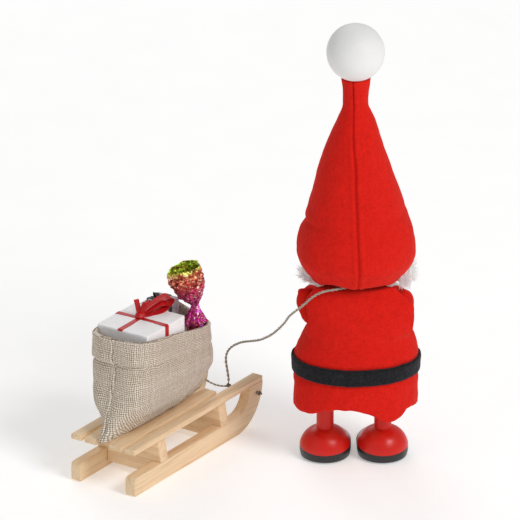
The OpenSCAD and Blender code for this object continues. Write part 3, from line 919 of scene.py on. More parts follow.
# The back panel runs on behind the sleeves: its half width on the left and right, and how far it is wide
PANEL_LEFT = [(44, 17.8), (50, 16.6), (55, 16.4), (60, 17), (63, 16.2), (66, 13.5)]
PANEL_RIGHT = [(44, 20.8), (50, 20.3), (54, 20.8), (58, 20.9), (60, 20.1), (61.5, 18.4), (63, 16.6), (66, 14)]
PANEL_SHARE = [(44.5, 0), (47, 0.25), (50, 1), (66, 1)]
PANEL_EDGE = 58.0
PANEL_ROOT = 80.0
PANEL_EDGE_Y = 7.3
PANEL_BEND = 68
HEM = [
    (0, 19.4), (25, 20), (48, 20.6), (62, 22.8), (85, 23.6), (105, 21.6), (122, 18.2), (138, 18.6),
    (150, 21.4), (180, 20), (230, 20.5), (270, 21.5), (310, 20.5), (360, 19.4),
]
COAT_TOP = 66
BELT_LOW = 32.8
BELT_HIGH = 38.9
# Outline of the belt across it: share of its width, and how far it stands off the coat
BELT_PROFILE = [
    (0.0, 0.1), (0.0, 0.75), (0.06, 1.2), (0.2, 1.45), (0.5, 1.6), (0.8, 1.45), (0.94, 1.2), (1.0, 0.75),
    (1.0, 0.1), (0.5, 0.0),
]


def coat_surface(angle, z, inset, panel=True):
    c, s = cos(radians(angle)), sin(radians(angle))
    left, right = curve_at(z, COAT_LEFT), curve_at(z, COAT_RIGHT)
    side = right + (left - right) * (c + 1) / 2
    deep = curve_at(z, COAT_DEPTH)
    p = Vector(((side - inset) * c, (deep - inset) * s, z))
    off = abs(angle - BACK)
    share = curve_at(z, PANEL_SHARE)
    if not panel or off >= PANEL_ROOT or share <= 0:
        return p
    hand = 1 if angle < BACK else -1
    reach = curve_at(z, PANEL_LEFT if hand > 0 else PANEL_RIGHT)
    if off <= PANEL_EDGE:
        t = off / PANEL_EDGE
        x = reach * sin(radians(PANEL_BEND * t)) / sin(radians(PANEL_BEND))
        y = PANEL_EDGE_Y + (deep - PANEL_EDGE_Y) * cos(radians(90 * t))
    else:
        t = (off - PANEL_EDGE) / (PANEL_ROOT - PANEL_EDGE)
        x = reach + (abs(p.x) - reach) * t
        y = PANEL_EDGE_Y - 0.3 + (p.y - PANEL_EDGE_Y + 0.3) * t**3
    return p.lerp(Vector((hand * x, y, z)), share)


def coat_inside(angle, z, inset):
    return coat_surface(angle, z, inset, panel=False)


def coat_relief(_angle, z, p):
    """Folds of the skirt, the chest and the cloth bloused over the belt, as millimetres outward."""
    skirt = 1 - ease(z, 26, 33)
    chest = ease(z, 39, 42) * (1 - ease(z, 56, 63))
    folds = 0.55 * skirt * lump((p.x, p.y, z * 0.25), 6, 11)
    folds += 0.5 * chest * lump((p.x * 0.5, p.y, z * 1.1), 7, 12)
    blouse = 0.35 * bell(z - 41.5, 2) + 0.25 * bell(z - 30, 1.8)
    return folds + blouse + 0.12 * lump(p, 2.4, 13)


def coat():
    angles = [2.25 * k for k in range(160)]
    up = [0, 0.006, 0.014, 0.026] + [0.026 + 0.974 * (k / 66) for k in range(1, 67)]

    def hem(angle):
        return curve_at(angle, HEM) + 0.35 * lump_round(angle, 7, 14)

    edge = (0.4, 0.008)
    obj = garment("coat_felt", angles, up, 22, hem, COAT_TOP, coat_surface, coat_inside, coat_relief, edge)
    wear(obj, RED_FELT, "figure", ["coat"])


coat()


def belt():
    """A strip of black felt, a little uneven at its edges, lapped at the front."""
    columns = []
    for k in range(180):
        angle = 2.0 * k
        low = BELT_LOW + 0.22 * lump_round(angle, 8, 21)
        high = BELT_HIGH + 0.22 * lump_round(angle, 8, 22)
        lap = 0.9 * ease(angle, 262, 263) * (1 - ease(angle, 283, 284))
        column = []
        for share, stand in BELT_PROFILE:
            p = coat_surface(angle, low + (high - low) * share, 0)
            rough = 0.1 * lump(p, 1.6, 23) if stand > 0.5 else 0
            column.append(on_figure(p + direction(angle) * (stand + rough + lap * min(1, stand))))
        columns.append(column)
    obj = object_from("belt_felt", skin_of(columns, ring=True))
    obj.modifiers.new("round", "SUBSURF").levels = 1
    apply_modifiers(obj)
    wear(obj, BLACK_FELT, "figure", ["belt"])


belt()

# ---------------------------------------------------------------- arms and feet

SHOULDER = (16.2, 1.5, 58.3)


def limb(a, b, ra, rb, sides=28, rings=9):
    """A round-ended limb from a to b."""
    a, b = Vector(a), Vector(b)
    along = (b - a).normalized()
    line = []
    for i in range(rings):
        t = pi / 2 * (0.02 + 0.98 * i / (rings - 1))
        line.append((a - along * ra * cos(t), ra * sin(t)))
    for i in range(1, rings):
        t = pi / 2 * i / (rings - 1) * 0.98
        line.append((b + along * rb * sin(t), rb * cos(t)))
    side = along.orthogonal().normalized()
    other = along.cross(side)
    angles = [tau * k / sides for k in range(sides)]
    return skin_of([[p + r * (cos(t) * side + sin(t) * other) for t in angles] for p, r in line])


def mirrored(p, side):
    return on_figure((side * p[0], p[1], p[2]))


def melted(name, side, bones, voxel, rounds):
    """Joins limbs, given for the left side, into one smooth skin."""
    limbs = [limb(mirrored(a, side), mirrored(b, side), ra, rb) for a, b, ra, rb in bones]
    return evened(object_from(name, together(limbs)), voxel, rounds)


def sleeves():
    lower = (15.6, -5, 54.4)
    for side, word in SIDES:
        if side > 0:
            elbow, elbow_r = (15, 3, 54.2), 3.4
            bones = [((16.2, 1.8, 61.2), (18.3, 2, 62.2), 2.3, 1.5), ((16.4, 1.6, 60.2), elbow, 3.2, elbow_r)]
        else:
            elbow, elbow_r = (16.9, 3, 54.4), 3.7
            bones = [((16.3, 1.5, 58.6), (16.6, 2, 56), 4.2, 4)]
        bones += [
            (SHOULDER, elbow, 3.9, elbow_r),
            (elbow, lower, elbow_r, 3.5),
            (lower, (14.7, -14.2, 54.4), 3.5, 3.3),
        ]
        obj = melted(word + "_sleeve_felt", side, bones, 0.4, 10)

        def creases(p, side=side):
            bend = bell((p - mirrored((16.5, -1.5, 54), side)).length, 6)
            fine = 0.5 * bend * lump((p.x * 0.4, p.y * 1.6, p.z), 2.2, 33)
            return 0.35 * lump((p.x, p.y * 1.4, p.z), 3.4, 31 + side) + fine

        displaced(obj, creases)
        wear(obj, RED_FELT, word + "_arm", [word + "_sleeve"])


def arms():
    """Round sticks inside the sleeves."""
    for side, word in SIDES:
        elbow = (15.2, 2.8, 54.4) if side > 0 else (16.8, 3, 54.4)
        bones = [(SHOULDER, elbow, 2.6, 2), (elbow, (13.7, -18, 54.6), 2, 1.5)]
        obj = melted(word + "_arm_wood", side, bones, 0.4, 4)
        displaced(obj, lambda p: 0.05 * lump(p, 2, 34))
        wear(obj, INNER_WOOD, word + "_arm", [word + "_arm"])


def mittens():
    """Each a palm, a thumb and a cuff."""
    bones = [
        ((13.6, -17.6, 54.6), (13, -21, 53.8), 3.0, 2.4),
        ((13.4, -18.2, 54.6), (10.6, -17.5, 56.8), 1.9, 1.25),
        ((14.2, -16, 54.5), (13.8, -17, 54.5), 2.7, 2.8),
    ]
    for side, word in SIDES:
        obj = melted(word + "_mitten_felt", side, bones, 0.3, 6)
        displaced(obj, lambda p: 0.12 * lump(p, 1.8, 36))
        wear(obj, WHITE_FELT, word + "_arm", [word + "_mitten"])


sleeves()
arms()
mittens()

HEEL = [(0, 0), (7.6, 0), (8.7, 1.4), (8.9, 3.2), (8.3, 6), (6.6, 8.6), (3.8, 10.3), (0, 10.8)]
TOE = [(0, 0), (7.3, 0), (8.1, 1.2), (8.2, 2.3), (7.4, 3.8), (5.8, 5), (3.2, 6), (0, 6.4)]
FOOT_BACK = -0.4
FOOT_FRONT = -9.0
SOLE = 3.2
SOLE_RISE = 0.15
TOE_IN = 6
TOE_CUT = radians(22)
LEG_X = 10


def foot(name, side):
    """The whole egg-shaped foot, the hull of a high heel round and a low toe round, and where it stands."""
    work = bmesh.new()
    for y, profile in ((FOOT_BACK, HEEL), (FOOT_FRONT, TOE)):
        for p in smooth_path([(r, 0, z) for r, z in profile], 0.5):
            for k in range(72):
                r, t = max(0, p.x), tau * k / 72
                work.verts.new((r * cos(t), y + r * sin(t), max(0, p.z)))
    hull = bmesh.ops.convex_hull(work, input=work.verts)
    bmesh.ops.delete(work, geom=list(set(hull["geom_interior"] + hull["geom_unused"])), context="VERTS")
    turn = Matrix.Rotation(radians(-side * TOE_IN), 4, "Z")
    place = Matrix.Translation(on_figure((side * LEG_X, 0, 0))) @ turn
    mesh = bpy.data.meshes.new(name)
    work.to_mesh(mesh)
    work.free()
    mesh.transform(Matrix.Scale(MM, 4) @ place)
    return evened(placed(name, mesh), 0.35, 6), place


def feet():
    """A black clog each, and over it a red stocking: the same foot, cut off above the sole and the toe."""
    for side, word in SIDES:
        clog, place = foot(word + "_clog_wood", side)
        displaced(clog, lambda p: 0.05 * lump(p, 3, 41) if p.z > 0.5 else 0)
        wear(clog, BLACK_PAINT, "figure", [word + "_clog"])
        red, _ = foot(word + "_stocking_wood", side)
        work = bmesh.new()
        work.from_mesh(red.data)
        local = Matrix.Scale(MM, 4) @ place
        cuts = [((0, 8, SOLE + 0.1), (0, SOLE_RISE, 1)), ((0, -4.6, SOLE), (0, cos(TOE_CUT), sin(TOE_CUT)))]
        for spot, normal in cuts:
            bmesh.ops.bisect_plane(
                work,
                geom=work.verts[:] + work.edges[:] + work.faces[:],
                plane_co=local @ Vector(spot),
                plane_no=(place.to_3x3() @ Vector(normal)).normalized(),
                clear_inner=True,
            )
        work.to_mesh(red.data)
        work.free()
        displaced(red, lambda p: 0.16 + 0.04 * lump(p, 2.5, 42))
        thick = red.modifiers.new("coat_of_paint", "SOLIDIFY")
        thick.thickness = 0.5 * MM
        thick.offset = -1
        apply_modifiers(red)
        wear(red, RED_PAINT, "figure", [word + "_stocking"])


feet()

# ---------------------------------------------------------------- pieces refined from the frame


def refined(node, bevel, ending="_pine"):
    """A copy of a CAD piece with its flat faces joined and its edges rounded."""
    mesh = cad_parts[node].data.copy()
    obj = placed(node + ending, mesh)
    work = bmesh.new()
    work.from_mesh(mesh)
    bmesh.ops.remove_doubles(work, verts=work.verts, dist=0.002 * MM)
    bmesh.ops.dissolve_limit(work, angle_limit=radians(1), verts=work.verts, edges=work.edges)
    sharp = [e for e in work.edges if len(e.link_faces) == 2 and e.calc_face_angle(0) > radians(30)]
    bmesh.ops.bevel(
        work, geom=sharp, offset=bevel * MM, segments=3, profile=0.5, affect="EDGES", clamp_overlap=True
    )
    bmesh.ops.recalc_face_normals(work, faces=work.faces)
    work.to_mesh(mesh)
    work.free()
    all_smooth(mesh)
    mesh.set_sharp_from_angle(angle=radians(35))
    return obj


def sled():
    boards = ["left_runner", "right_runner", "left_bar", "right_bar", "left_slat", "right_slat"]
    for number, node in enumerate(boards):
        wear(refined(node, 0.35), pine(node + "_grain", number), "sled", [node])
    for number, node in enumerate(["front_bearer", "rear_bearer"], start=7):
        wear(refined(node, 0.3), pine(node + "_grain", number, across=True), "sled", [node])


def legs():
    for _, word in SIDES:
        obj = refined(word + "_leg", 0.3, "_dowel")
        wear(obj, LEG_PAINT, "figure", [word + "_leg"])


def inner_pieces():
    """The hidden CAD pieces stay as they are, with their own materials."""
    looks = {"neck_dowel": INNER_WOOD, "neck_washer": WASHER_FELT, "arm_axle": STEEL, "hat_dowel": INNER_WOOD}
    for node, look in looks.items():
        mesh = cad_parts[node].data
        mesh.materials.clear()
        mesh.materials.append(look)


CORE = [
    (0, 23.2), (6, 23.2), (12.8, 23.2), (13.8, 23.6), (14.3, 24.8), (14.3, 36), (12.6, 45), (10.3, 50),
    (8.2, 53.5), (8.2, 62.5), (6.4, 65), (2.7, 65),
]


def core():
    """The turned core, from its outline of radius and height, bottom to top."""
    rings = []
    for p in smooth_path([(r, 0, z) for r, z in CORE], 0.6):
        r = max(0.02, p.x)
        ring = [Vector((r * cos(a), r * sin(a), p.z)) for a in [tau * j / 72 for j in range(72)]]
        rings.append([on_figure(q * (1 + 0.0025 * lump(q, 3, 45))) for q in ring])
    wear(object_from("body_core_wood", skin_of(rings)), INNER_WOOD, "figure", ["body_core"])


sled()
legs()
core()
inner_pieces()

# ---------------------------------------------------------------- head, face and beard

HEAD_R = 14.5
HEAD_Z = 80.0
NOSE_Z = 81.2
CHIN_Z = 66.3
EYE_X = 4.7
CHEEKS = [tuple(on_figure((side * 8.2, -11.6, 79.2)) * MM) for side in (1, -1)]
FACE_PAINT = skin_paint("face_paint", CHEEKS)


def head():
    """A wooden ball with eye sockets hinted and full cheeks."""

    def relief(p):
        def near(x, y, z, width):
            return bell((p - Vector((x, y, z))).length, width)

        sockets = near(EYE_X, -12.9, 5, 3.2) + near(-EYE_X, -12.9, 5, 3.2)
        cheeks = near(8.2, -11.6, -0.8, 4.5) + near(-8.2, -11.6, -0.8, 4.5)
        return 0.35 * cheeks - 0.35 * sockets + 0.15 * near(0, -12.6, 8.4, 4) + 0.04 * lump(p, 4, 51)

    def flat_below(p):
        return on_figure((p.x, p.y, max(p.z, CHIN_Z)))

    skin = ball((0, 0, HEAD_Z), (HEAD_R,) * 3, 80, 110, relief, flat_below)
    wear(object_from("head_wood", skin), FACE_PAINT, "head", ["head"])
    skin = ball((0, -16.9, NOSE_Z), (2.8, 2.7, 2.7), 24, 36, lambda p: 0.04 * lump(p, 2, 52))
    wear(object_from("nose_wood", skin), FACE_PAINT, "head", ["nose"])
    eyes = [ball((side * EYE_X, -12.75, 85), (1.0, 0.85, 1.05), 16, 24, lambda p: 0) for side, _ in SIDES]
    wear(object_from("eyes_bead", together(eyes)), EYE_PAINT, "head", ["eyes"])


def lock(root, tip, curl, thin, thick, rng):
    """One tapered wisp of wool from root to tip, bent by curl; its thickness is drawn between two sizes."""
    root, tip, curl = on_figure(root), on_figure(tip), Vector(curl)
    wide = rng.uniform(thin, thick)
    line = []
    for k in range(7):
        t = k / 6
        stray = Vector([rng.uniform(-0.18, 0.18) for _ in range(3)]) * t
        line.append(root.lerp(tip, t) + curl * sin(pi * t) + stray)
    return tube(line, lambda t: wide * (0.55 + 0.6 * sin(pi * min(1, t * 1.15))) * (1.02 - t), 5)


def wool_piece(name, skins, node, body="head"):
    return wear(object_from(name, together(skins)), WHITE_WOOL, body, [node])


# The side tufts beside the hat: middle, radii, reach and number of the wisps, and the side
TUFTS = [
    ((-16, -8.2, 66.0), (3.4, 3.0, 4.2), 3.1, 1100, "right"),
    ((14.2, -8.6, 65.4), (2.7, 3, 4.2), 1.9, 700, "left"),
]
# The beard's cushion, by degrees away from the front: its lower and upper edge and its outer radius
PAD_LOW = [(0, 56.6), (10, 57.5), (18, 62.4), (30, 63.3), (56, 63.5), (74, 64.4)]
PAD_HIGH = [(0, 73.6), (36, 72.6), (50, 68.2), (74, 66.2)]
PAD_OUT = [(0, 18.3), (40, 18.2), (60, 17.6), (74, 16.2)]
PAD_INSIDE = 13.9
PAD_END = 74
# The wisps' roots, between two heights, and how far the wisps stand out
ROOT_LOW = [(0, 58), (11, 58.6), (19, 63.2), (30, 63.9), (56, 63.9), (80, 65)]
ROOT_HIGH = [(0, 73.4), (36, 72.4), (50, 68.4), (80, 66.6)]
SPREAD = [(0, 3.4), (40, 4.2), (62, 5.6), (80, 4.6)]
# Lowest the wool hangs, by degrees away from the front: a bib between the arms, higher at the sides
WOOL_LOW = [(0, 56.4), (11, 57.2), (19, 62.6), (30, 63.5), (56, 63.5), (66, 64.0), (90, 65.0)]
ARM_INSIDE = 18.2  # raised arms and thumbs pass outside this radius
ARM_TOP = 64.9  # and below this height


def clear_of_arms(p):
    """Moves the end of a wisp to where the raised arms don't reach it."""
    front = abs(degrees(atan2(p.x, -p.y)))
    z = max(p.z, curve_at(min(front, 90), WOOL_LOW))
    reach = hypot(p.x, p.y)
    share = ARM_INSIDE / reach if z < ARM_TOP and reach > ARM_INSIDE else 1
    return Vector((p.x * share, p.y * share, z))


def beard_pad():
    """The body of the beard: a curved cushion of wool under the face."""
    columns = []
    for k in range(61):
        f = -PAD_END + 2 * PAD_END * k / 60
        low, high, out = [curve_at(abs(f), table) for table in (PAD_LOW, PAD_HIGH, PAD_OUT)]
        a = radians(f)
        column = []
        for i in range(24):
            t = tau * i / 24
            r = (PAD_INSIDE + out) / 2 + (out - PAD_INSIDE) / 2 * cos(t)
            z = (low + high) / 2 + (high - low) / 2 * sin(t)
            p = Vector((r * sin(a), -r * cos(a), z))
            column.append(on_figure(p * (1 + 0.03 * lump(p, 3, 61)) if cos(t) > 0 else p))
        columns.append(column)
    return skin_of(columns)


def beard():
    """The beard's wool, then the moustache's."""
    rng = random.Random(17)
    skins = [beard_pad()]
    for _ in range(2600):
        f = rng.uniform(-80, 80)
        side = abs(f)
        out = direction(f - 90)
        along = direction(f)
        z = rng.uniform(curve_at(side, ROOT_LOW), curve_at(side, ROOT_HIGH))
        spread = curve_at(side, SPREAD) * (1.22 if f < 0 else 1)
        root = out * rng.uniform(14.4, 17.2) + Vector((0, 0, z))
        fall = rng.uniform(-7.5, -2) if side < 48 else rng.uniform(-6.5, 2.8)
        tip = root + out * rng.uniform(0.25, 1) * spread + along * rng.uniform(-2.2, 2.2)
        tip += Vector((0, 0, fall))
        tip = clear_of_arms(tip + Vector((0, 0, rng.uniform(0, 0.8))))
        curl = out * rng.uniform(0.2, 1.2) * (0.1 if tip.z < ARM_TOP else 1) + along * rng.uniform(-1, 1)
        skins.append(lock(root, tip, curl, 0.12, 0.26, rng))
    wool_piece("beard_wool", skins, "beard")
    skins = []
    for k in range(360):
        side = 1 if k % 2 else -1
        root = Vector((side * rng.uniform(0.1, 1.6), -15.3, 76.8 + rng.uniform(-0.9, 0.9)))
        reach = rng.uniform(4.5, 8.6)
        tip = Vector((side * reach, -sqrt(max(1, 16.4**2 - reach**2)), 75.3 + rng.uniform(-2.3, 0.9)))
        curl = Vector((0, -rng.uniform(0.6, 1.7), rng.uniform(-0.2, 0.8)))
        skins.append(lock(root, tip, curl, 0.13, 0.26, rng))
    wool_piece("moustache_wool", skins, "moustache")


def tufts():
    """The wool that stands out beside the hat, with the wisps' tips held above a sloping height."""
    rng = random.Random(23)
    for centre, radii, far, count, word in TUFTS:
        side = copysign(1, centre[0])
        skins = [ball(centre, radii, 28, 36, lambda p: 0.5 * lump(p, 2.4, 62))]
        for _ in range(count):
            n = Vector((side * rng.uniform(-0.35, 1), rng.uniform(-1, 1), rng.uniform(-0.9, 1))).normalized()
            root = Vector(centre) + Vector([n[i] * radii[i] * 0.9 for i in range(3)])
            out = Vector((side * rng.uniform(0.2, 1), n.y * 0.5, rng.uniform(-1.1, 0.9)))
            tip = root + out * far * rng.uniform(0.5, 1.15) + n * rng.uniform(0.5, 1.5)
            tip.y = min(tip.y, -0.5)
            tip.z = max(tip.z, min(64.4, 61.4 + 0.85 * (tip.y + 8)))
            curl = Vector((side * rng.uniform(0.1, 1), rng.uniform(-0.6, 0.4), rng.uniform(-0.2, 0.8)))
            skins.append(lock(root, tip, curl, 0.12, 0.26, rng))
        obj = wool_piece(word + "_tuft_wool", skins, "beard")
        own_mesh(obj)


def shoulder_wool():
    """The beard's end that lies over the right shoulder; it is not put on the head, so all of it stays where it
    lies.
    """
    rng = random.Random(29)
    skins = []
    for _ in range(620):
        y = rng.uniform(-1.5, 4.6)
        root = Vector((-rng.uniform(14.6, 18.2), rng.uniform(-7, -3.4), rng.uniform(65.2, 68.6)))
        tip = Vector((-rng.uniform(15.2, 19.4), y, rng.uniform(63.6, 65.6) - 0.12 * max(0, y)))
        curl = Vector((-rng.uniform(0, 0.9), 0, rng.uniform(0.5, 1.6)))
        skins.append(lock(root, tip, curl, 0.14, 0.28, rng))
    obj = wool_piece("shoulder_wool", skins, "beard", body=None)
    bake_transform(obj)


head()
beard()
tufts()
shoulder_wool()

# ---------------------------------------------------------------- sack

SLED_H = 17.3
SACK_FLOOR = SLED_H + 0.1
SACK_H = 36.0
SACK_HALF = [(0, 3.1), (1.2, 4.6), (3.5, 6.4), (7.5, 8.9), (12.5, 10.9), (18.5, 11.9), (31, 12), (38, 11.8)]
SACK_REAR = [(0, -1.4), (4, 1.6), (10, 3.6), (18.5, 6.2), (31, 6.8), (38, 7)]
SACK_FRONT = [(0, 60), (4, 59.6), (10, 57.4), (18.5, 54.8), (31, 53), (38, 52.6)]
SACK_POWER = [(0, 2), (7, 2.6), (18.5, 5), (38, 5)]
RIM_DROP = 8.0
FAR_DROP = 1.5
SACK_THICK = 0.85
THREAD = 0.72
THREADS_ROUND = 196
# The wadding's lower edge and top above the sack's floor, and the step where its top rises to the front
FILL_LOW = 6.3
FILL_TOP = 20.1
FILL_STEP = 6.2
FILL_STEP_AT = (35.4, 36.2)
FILL_MIDDLE = 35.8
HEM_AT = 0.74  # share of the sack's height where its folded top edge ends


def sack_surface(a, h, inset):
    """Point of the sack at an angle round it and a height above its floor; its rim is uneven."""
    half = curve_at(h, SACK_HALF) - inset
    rear = curve_at(h, SACK_REAR) + inset
    front = curve_at(h, SACK_FRONT) - inset
    power = curve_at(h, SACK_POWER)
    long = (front - rear) / 2
    c, s = cos(a), sin(a)
    r = (abs(c / long) ** power + abs(s / half) ** power) ** (-1 / power)
    x, y = r * c / long, r * s / half
    low = RIM_DROP * max(0, (1 + x) / 2) ** 1.3 * (1 - y) / 2 + FAR_DROP * bell(x - 0.35, 0.7) * (1 + y) / 2
    drop = low * max(0, h - 12) / (SACK_H - 12)
    return Vector(((rear + front) / 2 + r * c, r * s, SACK_FLOOR + h - drop))


def even_angles(count, h):
    """Angles that share out the sack's outline at a height into equal lengths."""
    fine = [sack_surface(tau * k / 2000, h, 0) for k in range(2001)]
    run = [0.0]
    for p, q in zip(fine, fine[1:]):
        run.append(run[-1] + (q - p).length)
    angles, k = [], 0
    for i in range(count):
        want = run[-1] * i / count
        while run[k + 1] < want:
            k += 1
        angles.append(tau * (k + (want - run[k]) / (run[k + 1] - run[k])) / 2000)
    return angles


def sack_relief(p, share, a):
    """Folds of the linen, the turned-over top edge and the rear seam, as millimetres outward."""
    bottom = 1 - ease(share, 0.06, 0.4)
    folds = 0.75 * lump((p.x * 0.7, p.y, p.z * 0.55), 7.5, 71) + 0.25 * lump(p, 3.2, 72)
    gathers = 0.7 * bottom * lump((p.x, p.y, p.z * 0.3), 3.4, 73)
    wave = 0.02 * lump((p.x, p.y, 0), 9, 74)
    sharp = 0.35 + 0.65 * (1 - ease(p.x, 16, 30))
    hem = 0.45 * ease(share + wave, HEM_AT, HEM_AT + 0.02) - 0.8 * bell(share + wave - HEM_AT + 0.012, 0.02)
    hem *= sharp
    hem += 0.25 * bell(share - 0.99, 0.02)
    seam_off = p.y + 0.4 * lump((0, 0, p.z), 8, 75)
    rear = ease(-cos(a), 0.2, 0.6)
    seam = rear * (0.5 * bell(seam_off - 0.5, 0.5) - 0.6 * bell(seam_off + 0.35, 0.35))
    return folds * ease(share, 0, 0.1) + gathers + hem + seam


def sack():
    """The linen, up its outside and down its inside."""
    columns = 294
    angles = even_angles(columns, 24)
    layers = [(k / 76, 0) for k in range(77)] + [(1 - k / 24 * 0.8, SACK_THICK) for k in range(25)]
    rows, heights = [], []
    for share, inset in layers:
        h = SACK_H * share
        row = []
        for a in angles:
            p = sack_surface(a, h, inset)
            along = (sack_surface(a + 0.02, h, inset) - p).normalized()
            if inset:
                off = min(0.2, 0.3 * lump((p.x * 0.7, p.y, p.z * 0.55), 7.5, 71))
            else:
                off = sack_relief(p, share, a) - 0.3 * bell(share - 1, 0.006)
            row.append(on_sled(p + Vector((along.y, -along.x, 0)) * off))
        rows.append(row)
        heights.append((2 * SACK_H - h if inset else h) / THREAD)
    ends = [SLED.inverted() @ p for row in (rows[0][::-1], rows[-1]) for p in row]
    uv = grid_uv(heights, columns, THREADS_ROUND, [(p.x / THREAD, p.y / THREAD) for p in ends])
    obj = object_from("sack_linen", skin_of(rows), uv)
    wear(obj, LINEN, "sack", ["sack"])


def filling():
    """Wadding under the parcels, higher at the sack's front, pressed flat where they lie."""

    def top(x):
        return FILL_TOP + FILL_STEP * ease(x, *FILL_STEP_AT)

    outline = [(a, sack_surface(a, 20, 1.2)) for a in even_angles(120, 24)]
    rows = []
    for k in range(15):
        row = []
        for a, p in outline:
            h = FILL_LOW + (top(p.x) - FILL_LOW) * k / 14
            q = sack_surface(a, h, 1.25)
            row.append(on_sled((q.x, q.y, SACK_FLOOR + h)))
        rows.append(row)
    for k in range(1, 26):
        share = 1 - k / 26
        row = []
        for _, p in outline:
            q = Vector((FILL_MIDDLE + (p.x - FILL_MIDDLE) * share, p.y * share, 0))
            row.append(on_sled((q.x, q.y, SACK_FLOOR + top(q.x) - 0.35 * (0.5 + lump(q, 3, 76)))))
        rows.append(row)
    obj = object_from("wadding_fill", skin_of(rows))
    wear(obj, WADDING, "sack", ["sack_filling"])


sack()
filling()

# ---------------------------------------------------------------- presents

GIFT_AT = Vector((12.4, -10.2, SLED_H + 0.05 + 20.2 + 0.1))
GIFT = Vector((22.8, 20.8, 17))
SMALL_AT = Vector((36.7, 1.8, SLED_H + 0.05 + 26.4 + 0.1))
SMALL = Vector((12.6, 8.4, 9.8))
BAND = 1.9
BAND_GAP = 0.16
BAND_CORNER = 0.35


def parcel(name, at, size, seed, puff):
    """A wrapped box: soft edges, slightly hollow and puffed faces, folded flaps at its ends."""
    work = bmesh.new()
    bmesh.ops.create_cube(work, size=1)
    for v in work.verts:
        v.co = at + Vector([(v.co[i] + 0.5) * size[i] for i in range(3)])
    bmesh.ops.bevel(work, geom=work.edges[:], offset=0.35, segments=3, profile=0.6, affect="EDGES")
    bmesh.ops.subdivide_edges(work, edges=work.edges[:], cuts=3, use_grid_fill=True)
    long = [e for e in work.edges if e.calc_length() > 1]
    bmesh.ops.subdivide_edges(work, edges=long, cuts=3, use_grid_fill=True)
    bmesh.ops.triangulate(work, faces=[f for f in work.faces if len(f.verts) > 4])
    centre = at + size / 2
    for v in work.verts:
        p = v.co.copy()
        away = Vector([(p[i] - centre[i]) / (size[i] / 2) for i in range(3)])
        inner = sorted(abs(x) for x in away)[1]
        out = Vector([copysign(1, x) if abs(x) > 0.97 else 0 for x in away])
        v.co += out * (puff * (1 - inner**2) * (0.4 + lump(p, 6, seed)) + 0.06 * lump(p, 2.2, seed + 1))
    work.verts.index_update()
    skins = [([on_sled(v.co) for v in work.verts], [[v.index for v in f.verts] for f in work.faces])]
    work.free()
    half = size.y / 2 - 0.4
    quads = [[0, 1, 2, 3], [7, 6, 5, 4], [0, 4, 5, 1], [1, 5, 6, 2], [2, 6, 7, 3], [3, 7, 4, 0]]
    for end in (-1, 1):
        for low, high, reach, lift in ((0, 1, 0.62, 0), (1, 0, 0.55, 0.12)):
            x = centre.x + end * (size.x / 2 + 0.03 + lift)
            z_edge = at.z + size.z * low + (-0.4 if low else 0.4)
            z_tip = at.z + size.z * (low + (high - low) * reach)
            corners = [(-half, z_edge), (half, z_edge), (half * 0.42, z_tip), (-half * 0.42, z_tip)]
            flap = [on_sled((x + end * thick, centre.y + y, z)) for thick in (0, 0.1) for y, z in corners]
            skins.append((flap, quads))
    obj = object_from(name, together(skins))
    obj.data.set_sharp_from_angle(angle=radians(32))
    return obj


def ribbon(line, width, thick, across, puff=0.0):
    """A flat strip along a line in sled millimetres; width(share) wide in the direction across."""
    line = [Vector(p) for p in line]
    across = Vector(across)
    rings = []
    for i, p in enumerate(line):
        along = (line[min(i + 1, len(line) - 1)] - line[max(i - 1, 0)]).normalized()
        wide = (across - along * across.dot(along)).normalized()
        up = wide.cross(along)
        w = width(i / (len(line) - 1)) / 2
        profile = [(x / 2, -0.5) for x in range(-2, 3)] + [(x / 2, 0.5) for x in range(2, -3, -1)]
        ring = [p + wide * x * w + up * (z * thick + puff * (1 - x * x)) for x, z in profile]
        rings.append([on_sled(q) for q in ring])
    return skin_of(rings)


def even(width):
    """The same width all along."""
    return lambda share: width


def bands(name, skins, look, body, node):
    """Ribbons as one piece on a parcel."""
    obj = object_from(name, together(skins))
    obj.data.set_sharp_from_angle(angle=radians(50))
    wear(obj, look, body, [node])


def around(at, size, share, over_length):
    """Line of a band round a box: over its length or over its width, open below."""
    run, other = (0, 1) if over_length else (1, 0)
    a, b = at[run] - BAND_GAP, at[run] + size[run] + BAND_GAP
    low, high = at.z + 0.6, at.z + size.z + BAND_GAP
    c = BAND_CORNER
    ends = []
    for place, z in ((a, low), (a, high - c), (a + c, high), (b - c, high), (b, high - c), (b, low)):
        corner = Vector((0, 0, z))
        corner[run] = place
        corner[other] = at[other] + size[other] * share
        ends.append(corner)
    line = []
    for p, q in zip(ends, ends[1:]):
        count = max(1, round((q - p).length / 1.2))
        line += [p.lerp(q, k / count) for k in range(count)]
    return line + [ends[-1]]


def crumple(p, seed):
    """Small hard-edged dents of foil or tight paper, as a share."""
    q = p * 0.45 + Vector((seed * 7.1, 3.3, 1.7))
    cells = noise.voronoi(q)[0]
    return cells[1] - cells[0]


def gift():
    box = parcel("gift_paper", GIFT_AT, GIFT, 81, 0.25)
    wear(box, WHITE_PAPER, "white_gift", ["white_gift"])
    strips = [
        ribbon(around(GIFT_AT, GIFT, 0.52, False), even(BAND), 0.16, (1, 0, 0)),
        ribbon(around(GIFT_AT, GIFT, 0.54, True), even(BAND), 0.16, (0, 1, 0)),
    ]
    bands("gift_bands", strips, RED_RIBBON, "white_gift", "gift_ribbon")


BOW_AT = Vector((25.0, 1.2, 55.7))
